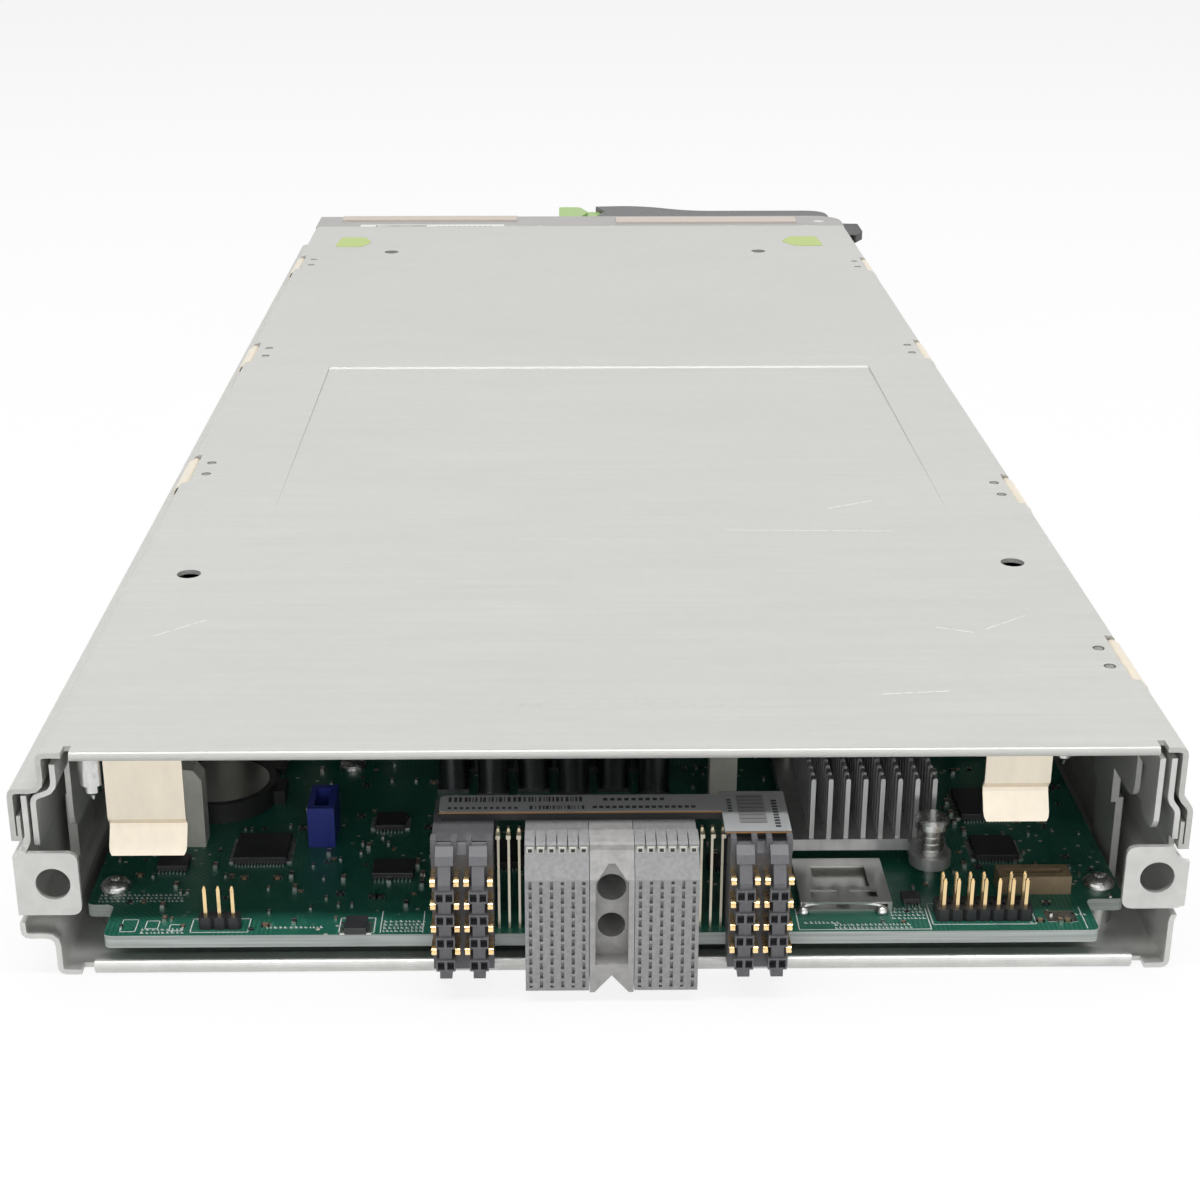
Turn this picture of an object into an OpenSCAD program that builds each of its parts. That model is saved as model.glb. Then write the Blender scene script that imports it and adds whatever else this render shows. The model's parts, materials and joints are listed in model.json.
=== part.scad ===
// Half-height blade server, lying flat: tray, cover, system board, backplane connectors,
// processors, memory, two drives in carriers, bezel and ejector lever.
// +Y points from the backplane connectors at the rear to the bezel at the front, +Z up.
// The origin is on the underside, half way along the sheet metal.

/* [Case] */
// Overall width across the cover flanges
body_width = 213.8; // [213.4:0.1:214.6]
// Height from the underside to the cover's top face
body_height = 44; // [43.8:0.1:45]
// Length of the top cover
cover_length = 472; // [466:1:478]
// How far the cover stands back from the tray's rear edge
cover_rear = 2.4; // [1.6:0.2:3]
// Depth of the bezel in front of the cover
bezel_depth = 22; // [20:1:24]
// Thickness of the folded steel sheet
sheet = 1; // [0.9:0.05:1.1]

/* [Rear tabs] */
// Bore of the guide hole in each rear tab
guide_hole = 6.3; // [5:0.1:7]
// Height of the guide holes above the underside
guide_hole_height = 18.9; // [18.2:0.1:19.4]

/* [System board] */
// Thickness of the system board
board_thickness = 2.5; // [2:0.1:2.8]
// Height of the board's component side above the underside
board_top = 7.75; // [7:0.05:8.2]

/* [Backplane connectors] */
// Sideways place of the connector group
connector_x = 1.4; // [0:0.1:3]
// How far the connectors stand out behind the sheet metal
connector_reach = 10; // [8:0.5:12]
// Bore of the upper guide socket
guide_socket = 5.3; // [5:0.1:5.6]

/* [Ejector lever] */
// Height of the lever arm
lever_height = 12; // [9:0.5:12.5]
// How far the arm stands out in front of the bezel
arm_reach = 13.5; // [12:0.5:15]
// How far the handle stands out in front of the bezel
handle_reach = 24; // [20:0.5:26]

/* [Spring fingers] */
// Length of one spring finger along the edge
finger_length = 21; // [16:1:24]

/* [Hidden] */
$fn = 32;

half = body_width / 2;
front_y = cover_length + bezel_depth;
mid_y = front_y / 2;
under_cover = body_height - sheet;
board_under = board_top - board_thickness;
fuse = 0.1; // overlap of shapes joined into one solid

// Case sections, seen from the rear, as X and Z of the outer face
shelf_z = body_height - 7;
step_x = -half + 5.7;
cover_path = [[half, 24], [half, shelf_z - 5], [half - 2, shelf_z - 3.2], [half - 2, body_height],
    [step_x, body_height], [step_x, shelf_z], [-half, shelf_z], [-half, 27]];
ledge_z = 7.6;
floor_left = -half + 6.6;
floor_right = half - 1.9;
tray_path = [[-half + 2.5, shelf_z - 1.4], [-half + 2.5, 26], [-half + 0.5, 24.2], [-half + 0.5, ledge_z],
    [floor_left, ledge_z], [floor_left, 0], [floor_right, 0], [floor_right, 10.6], [half - 0.3, 12.8],
    [half - 0.3, 20.8], [half - 2.3, 22.8], [half - 2.3, shelf_z - 5.4], [half - 3.9, shelf_z - 3.6],
    [half - 3.9, under_cover - 1.2]];
rail_top = under_cover - 1.4;
left_rail_path = [[-half + 8, rail_top], [-half + 8, shelf_z - 0.4],
    [-half + 4, shelf_z - 1.5], [-half + 4, 25.5]];
right_rail_path = [[half - 5.9, 36], [half - 5.9, rail_top]];

// Rear edges
cover_lip_left = -half + 11.7;
cover_lip_right = half - 7.1;
tray_lip_left = -half + 13.3;
tray_lip_right = half - 8.9;
tab_z0 = 12.5;
tab_z1 = 25.2;
left_tab_hole = -half + 7.3;
right_tab_hole = half - 5.9;

// Cover features: X, Y from the rear edge
cover_holes = [[-88.3, 92], [92.7, 97], [-68.3, 425], [66.8, 425]];
cover_hole = 5.2;
right_fingers = [43.7, 148.5, 283, 402.6];
left_fingers = [166.9, 281.5, 408];
finger_pitch = 9;
emboss = [-75, 84.5, 120, 263];
emboss_depth = 0.5;

// Board screws: X, Y from the rear edge
screw_places = [[-92.6, 18.2], [95.4, 17.2], [-52, 70], [56, 72], [-52, 214], [56, 214],
    [-52, 356], [56, 358], [80, 398], [80, 452]];

// Connector group, from its centre line
signal_width = 11.4;
guide_width = 7.9;
wafers = 6;
wafer = signal_width / wafers;
power_pitch = 6;
power_width = 11;
left_power_x = connector_x - 26.7;
right_power_x = connector_x + 26.7;
organizer_z = 28.6;
label_z = organizer_z + 1.6;
tab_top = 30.3;
face_top = 24.7;

// Memory banks
bank_pitch = 9.3;
bank_columns = [for (i = [0:3]) connector_x - 89.9 + bank_pitch * i];
right_columns = [for (i = [0:3]) connector_x + 62 + bank_pitch * i];
socket_length = 142;
socket_width = 6.8;
rear_bank_y = 74;
front_bank_y = rear_bank_y + socket_length + 2;
latch_pivot_z = board_top + 4;
latch_depth = 4.4;

// Processors
processor_y = [147, 291];
sink_width = 98;
sink_length = 108;
processor_top = board_top + 5;

// Drives
bay_width = 76.4;
bay_top = 24.6;
bay_floor = 2.4;
drive_centres = [-59.4, 19];
carrier_width = bay_width - 0.8;
drive_y0 = front_y - 107;
backplane_y = drive_y0 - 9;

// Ejector lever
pivot = [96, front_y - 11];
lever_z = 31;
lever_top = lever_z + lever_height;
hook_z = lever_z + 8;
arm_inner = front_y + 2;
pin_radius = 2;

// ---------- shared shapes ----------

// Moves what is measured forward from the rear sheet edge to its place
module from_rear() {
    translate([0, -mid_y, 0]) children();
}

// A block from one corner to the opposite one
module block(a, b) {
    translate(a) cube(b - a);
}

// An X-Z outline drawn out from y0 to y1
module along_y(y0, y1) {
    translate([0, y1, 0]) rotate([90, 0, 0]) linear_extrude(y1 - y0) children();
}

// A Y-Z outline drawn out from x0 to x1
module along_x(x0, x1) {
    translate([x0, 0, 0]) rotate([90, 0, 90]) linear_extrude(x1 - x0) children();
}

// A rod along Y
module rod_y(x, z, r, y0, y1) {
    translate([x, y0, z]) rotate([-90, 0, 0]) cylinder(r = r, h = y1 - y0);
}

function unit(v) = v / norm(v);
function left_of(v) = [-v[1], v[0]];

// The point of the inner face that belongs to point i of an outer face path
function inner_point(path, i, t) =
    let (last = len(path) - 1,
         a = i > 0 ? unit(path[i] - path[i - 1]) : unit(path[1] - path[0]),
         b = i < last ? unit(path[i + 1] - path[i]) : a,
         n = left_of(a),
         m = left_of(b))
    path[i] + t * (n + m) / (1 + n * m);

// Outline of a sheet whose outer face follows a path and whose wall lies to its left
function sheet_outline(path, t) =
    concat(path, [for (i = [len(path) - 1:-1:0]) inner_point(path, i, t)]);

// A corner b between a and c, rounded by a curve that starts r from it
function round_corner(a, b, c, r, steps) =
    let (p = b + r * unit(a - b), q = b + r * unit(c - b))
    [for (k = [0:steps]) let (s = k / steps) (1 - s) * (1 - s) * p + 2 * s * (1 - s) * b + s * s * q];

// How far from corner i its rounding may start
function corner_reach(path, i, r) =
    min(r, 0.45 * norm(path[i] - path[i - 1]), 0.45 * norm(path[i + 1] - path[i]));

// An open path with every inner corner rounded
function round_path(path, r, steps = 3) =
    concat([path[0]],
        [for (i = [1:1:len(path) - 2])
            each round_corner(path[i - 1], path[i], path[i + 1], corner_reach(path, i, r), steps)],
        [path[len(path) - 1]]);

// A closed outline with every corner rounded
function round_outline(p, r, steps = 4) =
    [for (i = [0:len(p) - 1])
        each round_corner(p[(i + len(p) - 1) % len(p)], p[i], p[(i + 1) % len(p)], r, steps)];

function box_outline(x0, y0, x1, y1) = [[x0, y0], [x1, y0], [x1, y1], [x0, y1]];

// Bent sheet along the case
module folded_sheet(path, y0, y1, t = sheet) {
    along_y(y0, y1) polygon(sheet_outline(round_path(path, 1.7), t));
}

// Profile of a rolled edge, from y = 0 inwards, between two heights
function rolled_edge(z0, z1, depth) =
    let (r = (z1 - z0) / 2)
    concat([[depth, z0]],
        [for (a = [-90:-22.5:-270]) [r + r * cos(a), z0 + r + r * sin(a)]],
        [[depth, z1]]);

// ---------- case ----------

module tray_tab(side, hole_x, reach) {
    inner_x = hole_x - side * reach;
    outer_x = side * (half - (side > 0 ? 0.3 : 0.5));
    along_y(0.1, 0.1 + sheet) difference() {
        polygon(round_outline(box_outline(min(inner_x, outer_x), tab_z0, max(inner_x, outer_x), tab_z1), 2));
        translate([hole_x, guide_hole_height]) circle(d = guide_hole);
        if (side > 0) translate([outer_x, tab_z1]) circle(r = 3);
    }
    // the tab's fold into the wall, with square outer corners
    fold_x = outer_x - side * sheet;
    block([min(fold_x, outer_x), 0.1, tab_z0 + 0.6],
          [max(fold_x, outer_x), 6, side > 0 ? tab_z1 - 4.6 : tab_z1 - 0.6]);
}

module base_tray() {
    color("lightsteelblue") from_rear() {
        difference() {
            folded_sheet(tray_path, 0.1, cover_length);
            // clearance of the tabs' folds above and below
            block([half - 6, -1, tab_z0 - 1.4], [half + 1, 4, tab_z0 + 0.4]);
            block([half - 4, -1, tab_z1 - 3.4], [half + 1, 4, tab_z1 + 0.4]);
            block([-half - 1, -1, tab_z0 - 1.6], [-half + 3, 3, tab_z0]);
            // the walls above the tabs stand back with the cover
            block([-half - 1, -1, tab_z1 + 0.4], [half + 1, cover_rear, body_height]);
            // relief at the ends of the rolled edge
            block([tray_lip_left - 2.4, -1, -1], [tray_lip_left, 2.6, 4]);
            block([tray_lip_right, -1, -1], [tray_lip_right + 2.4, 2.6, 4]);
            block([tray_lip_left - fuse, -1, -1], [tray_lip_right + fuse, 0.6, 4]);
            // way out for the lever's hook, open to the front
            block([half - 8, cover_length - 22, hook_z - 4], [half + 1, cover_length + 1, body_height]);
            for (p = screw_places) translate([p[0], p[1], -1]) cylinder(r = 1.55, h = 4);
        }
        along_x(tray_lip_left, tray_lip_right) polygon(rolled_edge(0.2, 2.5, 3.4));
        tray_tab(-1, left_tab_hole, 4.8);
        tray_tab(1, right_tab_hole, 6);
        // floor under the bezel
        block([floor_left + 1, cover_length - fuse, 0], [floor_right - 1, front_y - 1.3, sheet]);
    }
}

// A hanging tab of an inner rail, with its rear lower corner rounded
module rail_tab(x, y0, y1, z0, z1) {
    along_x(x, x + sheet)
        polygon(concat([[y1, z1], [y0, z1]],
            round_corner([y0, z1], [y0, z0], [y1, z0], 4, 5),
            round_corner([y0, z0], [y1, z0], [y1, z1], 4, 5)));
}

module inner_rails() {
    color("slategray") from_rear() {
        rear_y = cover_rear + 0.4;
        rail_end = cover_length - 26;
        folded_sheet(left_rail_path, rear_y, rail_end);
        for (i = [0:5]) rail_tab(-half + 8, 13 + 62 * i, 57 + 62 * i, 23, rail_top);
        folded_sheet(right_rail_path, rear_y, rail_end);
        rail_tab(half - 6.9, rear_y, 11, 26.4, rail_top);
        for (i = [0:6]) rail_tab(half - 6.9, 16 + 60 * i, 60 + 60 * i, 26.4, rail_top);
        // feet that carry the rails on the tray's ledge and floor
        for (i = [0:5]) {
            block([-half + 3.2, 30 + 70 * i, ledge_z + sheet], [-half + 5, 44 + 70 * i, 22]);
            block([-half + 4, 30 + 70 * i, 21.9], [-half + 5, 44 + 70 * i, 26.5]);
            block([half - 5.9, 30 + 70 * i, sheet], [half - 4.5, 44 + 70 * i, 20]);
            block([half - 6.9, 30 + 70 * i, 19], [half - 5.4, 44 + 70 * i, 27.5]);
        }
    }
}

module cover_hem(side, z0, z1) {
    outer = side * half;
    inner = side * (half - 2);
    slit = side * (half - 1.3);
    along_y(cover_rear, cover_length) union() {
        polygon(box_outline(min(outer, inner), z0 - 0.5, max(outer, inner), z0 + 0.5));
        polygon(box_outline(min(slit, inner), z0, max(slit, inner), z1));
    }
}

module finger_cuts() {
    for (y = right_fingers) block([half - 4.4, y - finger_length / 2 - 0.5, shelf_z - 2.6],
                                  [half + 1, y + finger_length / 2 + 0.5, body_height + 1]);
    for (y = left_fingers) block([step_x - 1, y - finger_length / 2 - 0.5, shelf_z + 1.4],
                                 [step_x + 2.4, y + finger_length / 2 + 0.5, body_height + 1]);
}

function rivet_places() =
    concat([for (y = right_fingers) for (s = [-0.5, 0.5]) [half - 7.1, y + s * finger_pitch]],
           [for (y = left_fingers) for (s = [-0.5, 0.5]) [step_x + 5.7, y + s * finger_pitch]]);

// Shallow wedge by which the middle of the cover is pressed in
module emboss_wedge(z) {
    along_x(emboss[0], emboss[1])
        polygon([[emboss[2], z], [emboss[3], z - emboss_depth], [emboss[3] + 0.4, z]]);
}

module top_cover() {
    color("silver") from_rear() {
        difference() {
            union() {
                folded_sheet(cover_path, cover_rear, cover_length);
                emboss_wedge(under_cover + 0.01);
            }
            emboss_wedge(body_height + 0.01);
            finger_cuts();
            for (p = cover_holes) translate([p[0], p[1], under_cover - 2]) cylinder(d = cover_hole, h = 4);
            for (p = rivet_places()) translate([p[0], p[1], under_cover - 1]) cylinder(r = 1.2, h = 3);
            // relief beside the rolled edge
            translate([0, cover_rear, under_cover - 1]) {
                block([cover_lip_left - 1.4, -1, 0], [cover_lip_left, 3, 3]);
                block([cover_lip_right, -1, 0], [cover_lip_right + 1.4, 3, 3]);
                block([cover_lip_left - fuse, -1, 0], [cover_lip_right + fuse, 0.6, 3]);
            }
            // way out for the lever's hook, open to the front
            block([half - 3.5, cover_length - 22, hook_z - 4],
                  [half + 1, cover_length + 1, body_height - 1.4]);
        }
        translate([0, cover_rear, 0]) along_x(cover_lip_left, cover_lip_right)
            polygon(rolled_edge(body_height - 1.9, body_height, 3.4));
        cover_hem(-1, 27, 31.5);
        difference() {
            cover_hem(1, 24, 29);
            block([half - 3.5, cover_length - 22, 20], [half + 1, cover_length + 1, 30]);
        }
    }
}

// Leaf of a spring finger as X and Z, from its riveted end under the cover round to its lower end
right_leaf = [[half - 10.3, under_cover - 0.32], [half - 4.3, under_cover - 0.32],
    [half - 3.1, body_height - 0.5], [half - 1.4, body_height - 1.4], [half - 0.4, body_height - 3.4],
    [half - 0.6, body_height - 6.2], [half - 3.25, body_height - 8.6], [half - 3.25, body_height - 10.4]];
left_leaf = [[step_x + 9, under_cover - 0.32], [step_x + 2.2, under_cover - 0.32],
    [step_x + 1, body_height - 0.5], [step_x - 1.1, body_height - 1.7], [step_x - 1.9, body_height - 3.2],
    [step_x - 0.8, shelf_z + 1.4]];

module leaf(path, y) {
    along_y(y - finger_length / 2, y + finger_length / 2)
        polygon(sheet_outline(round_path([for (p = path) p], 0.5, 2), 0.3));
}

module spring_fingers() {
    color("linen") from_rear() {
        right_reversed = [for (i = [len(right_leaf) - 1:-1:0]) right_leaf[i]];
        for (y = right_fingers) difference() {
            leaf(right_reversed, y);
            for (s = [-0.5, 0.5]) translate([half - 7.1, y + s * finger_pitch, 40]) cylinder(r = 0.9, h = 4);
        }
        for (y = left_fingers) difference() {
            leaf(left_leaf, y);
            for (s = [-0.5, 0.5]) translate([step_x + 5.7, y + s * finger_pitch, 40])
                cylinder(r = 0.9, h = 4);
        }
    }
}

module finger_rivets() {
    color("gray") from_rear() for (p = rivet_places()) translate([p[0], p[1], 0]) {
        translate([0, 0, under_cover - 1.2]) cylinder(r = 0.85, h = sheet + 1.1);
        translate([0, 0, under_cover - 1.2]) cylinder(r = 1.8, h = 0.5);
    }
}

// Clip that hangs from the cover: top flange, plate, joggle and flared lip, as Y and Z
module contact_clip(x0, x1, bend_z, lip_z) {
    intersection() {
        along_x(x0, x1) polygon(sheet_outline(round_path(
            [[14, under_cover - 0.1], [6.6, under_cover - 0.1], [6.6, bend_z], [8.2, bend_z - 1.2],
             [5, lip_z]], 0.9, 2), 0.5));
        along_y(0, 20) polygon(round_outline(box_outline(x0, lip_z - 0.5, x1, under_cover), 2));
    }
}

module contact_clips() {
    color("antiquewhite") from_rear() {
        contact_clip(-90.2, -76, 28.4, 22);
        contact_clip(69.6, 81.6, 34.8, 28);
    }
}

module locating_pins() {
    color("gainsboro") from_rear() for (p = [[-92.8, 8.4], [87.4, 20.8]]) translate([p[0], p[1], 0])
        rotate_extrude() polygon([[0, 31.6], [0.35, 32], [0.8, 33], [1.6, 33.7], [1.7, 35.2],
            [2.4, 35.4], [2.4, under_cover], [0, under_cover]]);
}

module touch_labels() {
    color("yellowgreen") from_rear() {
        label_y = 442.5;
        reach = 8.5;
        translate([0, 0, body_height]) linear_extrude(0.12) {
            polygon(round_outline([[-90, label_y - reach], [-80, label_y - reach], [-77, label_y],
                [-80, label_y + reach], [-89, label_y + reach]], 2));
            polygon(round_outline([[92, label_y - reach], [81, label_y - reach], [77, label_y],
                [81, label_y + reach], [91, label_y + reach]], 2));
        }
    }
}

// ---------- system board ----------

board_front = drive_y0 - 16;
board_outline = [[-91.7, 0.6], [91.7, 0.6], [91.7, 12], [99.2, 12], [99.2, front_y - 10],
    [60, front_y - 10], [60, board_front], [-97, board_front], [-97, 12], [-91.7, 12]];

module system_board() {
    color("seagreen") from_rear() difference() {
        translate([0, 0, board_under]) linear_extrude(board_thickness)
            polygon(round_outline(board_outline, 1.6));
        for (p = screw_places) translate([p[0], p[1], 0]) cylinder(r = 1.7, h = 20);
    }
}

module board_standoffs() {
    color("lightgray") from_rear() for (p = screw_places) translate([p[0], p[1], sheet])
        difference() {
            cylinder(r = 3, h = board_under - sheet);
            translate([0, 0, -1]) cylinder(r = 1.55, h = 10);
        }
}

module board_screws() {
    color("gainsboro") from_rear() for (p = screw_places) translate([p[0], p[1], 0]) {
        translate([0, 0, 2]) cylinder(r = 1.5, h = board_top - 2 + fuse);
        translate([0, 0, board_top]) difference() {
            rotate_extrude() polygon(concat([[0, 0], [3, 0]],
                [for (a = [0:15:90]) [0.4 + 2.6 * cos(a), 0.5 + 1.7 * sin(a)]], [[0, 2.2]]));
            translate([0, 0, 1.3]) cylinder(r = 0.9, h = 2);
        }
    }
}

// ---------- backplane connectors ----------

// Side view of a connector block, as Y and Z
function connector_side(bottom) = [[-connector_reach, bottom], [0.2, bottom], [0.2, board_top],
    [14, board_top], [14, organizer_z], [-1.6, organizer_z], [-1.6, tab_top], [-6.2, tab_top],
    [-6.6, tab_top - 0.4], [-6.6, face_top + 4.2], [-connector_reach, face_top]];

module signal_connector(x0) {
    color("darkgray") from_rear() difference() {
        along_x(x0, x0 + signal_width) polygon(connector_side(2.2));
        for (i = [0:wafers - 1]) translate([x0 + wafer * (i + 0.5), -connector_reach, 0])
            block([-0.28, -1, 2.8], [0.28, 0.7, face_top - 0.3]);
        for (i = [1:wafers - 1]) translate([x0 + wafer * i, 0, tab_top])
            block([-0.09, -7, -1.2], [0.09, -1.5, 1]);
    }
}

module left_signal_connector() {
    signal_connector(connector_x - guide_width / 2 - signal_width - 0.1);
}

module right_signal_connector() {
    signal_connector(connector_x + guide_width / 2 + 0.1);
}

module guide_block() {
    color("gray") from_rear() {
        left = connector_x - guide_width / 2;
        recess_back = -6.2;
        upper_z = 21.2;
        lower_z = 13.5;
        difference() {
            along_x(left, left + guide_width) polygon(connector_side(1.8));
            along_y(-connector_reach - 1, recess_back) translate([connector_x, 0])
                polygon([[-2.95, 7.5], [2.95, 7.5], [2.95, 24.2], [0.6, 27], [-0.6, 27], [-2.95, 24.2]]);
            rod_y(connector_x, upper_z, guide_socket / 2, recess_back - 2, 6);
            rod_y(connector_x, lower_z, guide_socket / 2 - 0.15, recess_back - 2, 6);
            along_y(-connector_reach - 1, 1) translate([connector_x, 0])
                polygon([[-3.6, 1.2], [3.6, 1.2], [0, 5.3]]);
        }
    }
}

tiers = 4;
tier_pitch = 4.6;
function tier_z(k) = 7.4 + tier_pitch * k;

module power_connector(x) {
    color("dimgray") from_rear() difference() {
        union() {
            along_x(x - power_width / 2, x + power_width / 2)
                polygon([[-4.6, 3.6], [0.2, 3.6], [0.2, board_top], [14, board_top], [14, organizer_z],
                    [-2, organizer_z], [-4.6, 27]]);
            for (c = [-0.5, 0.5]) translate([x + c * power_pitch, 0, 0]) {
                along_x(-1.1, 1.1) polygon([[-connector_reach + 0.4, 4.6], [-4.5, 4.6], [-4.5, 29],
                    [-5.5, 29], [-7, 28], [-connector_reach + 0.4, 23.6]]);
                along_x(-1.6, 1.6) polygon([[-4.5, 26.6], [-4.5, 29.2], [-5.6, 29.2], [-7.2, 28],
                    [-8, 26.6]]);
                for (k = [0:tiers - 1]) block([-1.7, -connector_reach, tier_z(k) - 1.1],
                                              [1.7, -4.5, tier_z(k) + 1.1]);
            }
            // contact tabs along the top
            for (c = [-5, -1.3, 1.3, 5]) block([x + c - 0.5, -5.2, 27.2], [x + c + 0.5, -3, tab_top]);
            block([x - power_width / 2, -2.4, 27], [x + power_width / 2, 0, organizer_z]);
        }
        for (c = [-0.5, 0.5]) for (k = [0:tiers - 1]) for (s = [-1, 1])
            translate([x + c * power_pitch + s * 0.85, 0, tier_z(k)])
                block([-0.6, -connector_reach - 1, -0.8], [0.6, -connector_reach + 2, 0.8]);
    }
}

module left_power_connector() {
    power_connector(left_power_x);
}

module right_power_connector() {
    power_connector(right_power_x);
}

// One sprung contact, as Y and Z, that bows twice towards the backplane
function contact_path(z) = [[-4.6, z + 2.7], [-8, z + 3.15], [-9.2, z + 2.8], [-8.5, z + 2.3],
    [-9.2, z + 1.8], [-8.2, z + 1.3]];

module power_contacts() {
    color("gold") from_rear() for (x = [left_power_x, right_power_x]) for (c = [-0.5, 0.5])
        for (s = [-1, 1]) for (k = [0:tiers - 1]) {
            middle = x + c * power_pitch + s * 2.1;
            along_x(middle - 0.45, middle + 0.45)
                polygon(sheet_outline(round_path(contact_path(tier_z(k)), 0.5, 2), 0.15));
        }
}

label_left = connector_x - 31.2;
plate_left = right_power_x - 6.4;
plate_right = right_power_x + 5.5;
label_outline = concat(
    round_corner([plate_left, 11.7], [label_left, 11.7], [label_left, 5.3], 1.4, 4),
    round_corner([label_left, 11.7], [label_left, 5.3], [plate_left, 5.3], 1.4, 4),
    [[plate_left, 5.3], [plate_left, -2.8], [plate_right, -2.8], [plate_right, 12.8],
     [plate_left, 12.8], [plate_left, 11.7]]);

module connector_organizer() {
    color("#2c2c2e") from_rear() {
        block([label_left + 0.4, 5.4, organizer_z], [right_power_x + 5.2, 11.5, label_z]);
        block([right_power_x - 6, -1.6, organizer_z], [right_power_x + 5.2, 12.5, label_z]);
    }
}

module connector_label() {
    color("lightgray") from_rear() translate([0, 0, label_z]) linear_extrude(0.3) polygon(label_outline);
}

module ground_pins() {
    color("wheat") from_rear() for (s = [-1, 1]) for (i = [0:2]) {
        x = connector_x + s * (16.6 + 1.9 * i);
        block([x - 0.22, 2.6, board_top], [x + 0.22, 3.6, organizer_z - 0.2]);
        block([x - 0.4, 0.6, 27.2], [x + 0.4, 2.7, organizer_z - 0.6]);
    }
}

// ---------- small board parts ----------

pin_pitch = 2.54;
service_x = -73.1;
debug_x = 63.4;

module header_bodies() {
    color("#232325") from_rear() {
        for (i = [0:2]) translate([service_x + pin_pitch * i, 3.8, board_top]) header_cell();
        for (i = [0:6]) for (j = [0:1]) translate([debug_x + pin_pitch * i, 5.1 + pin_pitch * j, board_top])
            header_cell();
    }
}

// One moulded cell round a pin, with its four corners cut back
module header_cell() {
    inside = pin_pitch / 2;
    cut = 0.45;
    linear_extrude(2.5) difference() {
        polygon([[-inside, -inside + cut], [-inside + cut, -inside], [inside - cut, -inside],
            [inside, -inside + cut], [inside, inside - cut], [inside - cut, inside],
            [-inside + cut, inside], [-inside, inside - cut]]);
        square(0.64, center = true);
    }
}

module header_pin(x, y) {
    tip = board_top + 8.5;
    translate([x, y, 0]) {
        block([-0.32, -0.32, board_top], [0.32, 0.32, tip - 0.4]);
        translate([0, 0, tip - 0.4 - 0.01]) linear_extrude(0.41) square(0.38, center = true);
    }
}

module header_pins() {
    color("gold") from_rear() {
        for (i = [0:2]) header_pin(service_x + pin_pitch * i, 3.8);
        // the second row leaves out its fifth pin, which keys the plug
        for (i = [0:6]) for (j = [0:1]) if (i != 4 || j != 1)
            header_pin(debug_x + pin_pitch * i, 5.1 + pin_pitch * j);
    }
}

module card_cage() {
    color("silver") from_rear() difference() {
        block([37.2, 8, board_top], [54.4, 25, board_top + 1.9]);
        block([38, 7, board_top + 0.4], [53.6, 24.4, board_top + 1.5]);
        block([40.5, 14, board_top + 1], [51, 22, board_top + 3]);
        block([39.5, 10, board_top + 1], [44.5, 12.6, board_top + 3]);
        block([47, 10, board_top + 1], [52, 12.6, board_top + 3]);
    }
}

module blue_connector() {
    color("midnightblue") from_rear() difference() {
        block([-57.6, 34.2, board_top], [-52.3, 44.6, board_top + 8.6]);
        block([-56.4, 35.6, board_top + 2], [-53.5, 43.2, board_top + 10]);
    }
}

module riser_connector() {
    color("tan") from_rear() difference() {
        block([75.6, 13.8, board_top], [89.3, 18.6, board_top + 3.8]);
        block([77, 15.4, board_top + 1.4], [87.9, 17, board_top + 6]);
    }
}

module nylon_posts() {
    color("whitesmoke") from_rear() {
        along_y(34.6, 39.4) polygon([[-83.1, board_top], [-78, board_top], [-78, 22.4], [-79.6, 24.6],
            [-83.1, 24.9]]);
        along_y(50, 55) polygon([[23, board_top], [28.6, board_top], [28.6, 30], [26.8, 32], [23, 32]]);
    }
}

module can_capacitor(x, y, r, h) {
    translate([x, y, board_top]) {
        block([-r - 0.15, -r - 0.15, 0], [r + 0.15, r + 0.15, 0.8]);
        translate([0, 0, 0.7]) cylinder(r = r, h = h - 0.7);
    }
}

module capacitors() {
    color("#8c8c90") from_rear() {
        for (i = [0:5]) can_capacitor(connector_x - 31.4 + 8.4 * i, 61 - 2 * (i % 2), 3.15, 9);
        for (i = [0:4]) can_capacitor(connector_x - 27 + 8.4 * i, 71, 3.15, 9);
        for (i = [0:7]) can_capacitor(connector_x - 35 + 10 * i, 207, 3.6, 10);
        for (i = [0:7]) can_capacitor(connector_x - 35 + 10 * i, 352, 3.6, 10);
    }
}

module inductors() {
    color("#3c3c40") from_rear() {
        for (i = [0:6]) for (y = [219, 83]) block([connector_x - 44 + 12.6 * i, y, board_top],
                                                 [connector_x - 34 + 12.6 * i, y + 8, board_top + 7]);
    }
}

module coin_cell_holder() {
    color("#202022") from_rear() translate([-78, 56, board_top]) difference() {
        union() {
            cylinder(r = 11.6, h = 4.2);
            block([-13.5, -3, 0], [13.5, 3, 3]);
        }
        translate([0, 0, 1]) cylinder(r = 10.1, h = 5);
    }
}

module coin_cell() {
    color("gainsboro") from_rear() translate([-78, 56, board_top + 1]) {
        cylinder(r = 10, h = 3.2);
    }
}

// ---------- heat sinks and chips ----------

chipset_left = 37.2;
chipset_right = 67.4;
chipset_rear = 26.6;
chipset_front = 64;
chipset_base_z = board_top + 2.75;
fin_columns = 8;
fin_rows = 12;
chipset_screw_places = [[63.6, 21.8], [41.2, 68.6]];

module chip_packages() {
    color("#4a6b4a") from_rear() {
        block([40.5, 32, board_top], [64.5, 58, chipset_base_z]);
        for (y = processor_y) block([connector_x - 22.5, y - 26, board_top + 1.6],
                                    [connector_x + 22.5, y + 26, processor_top]);
    }
}

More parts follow.
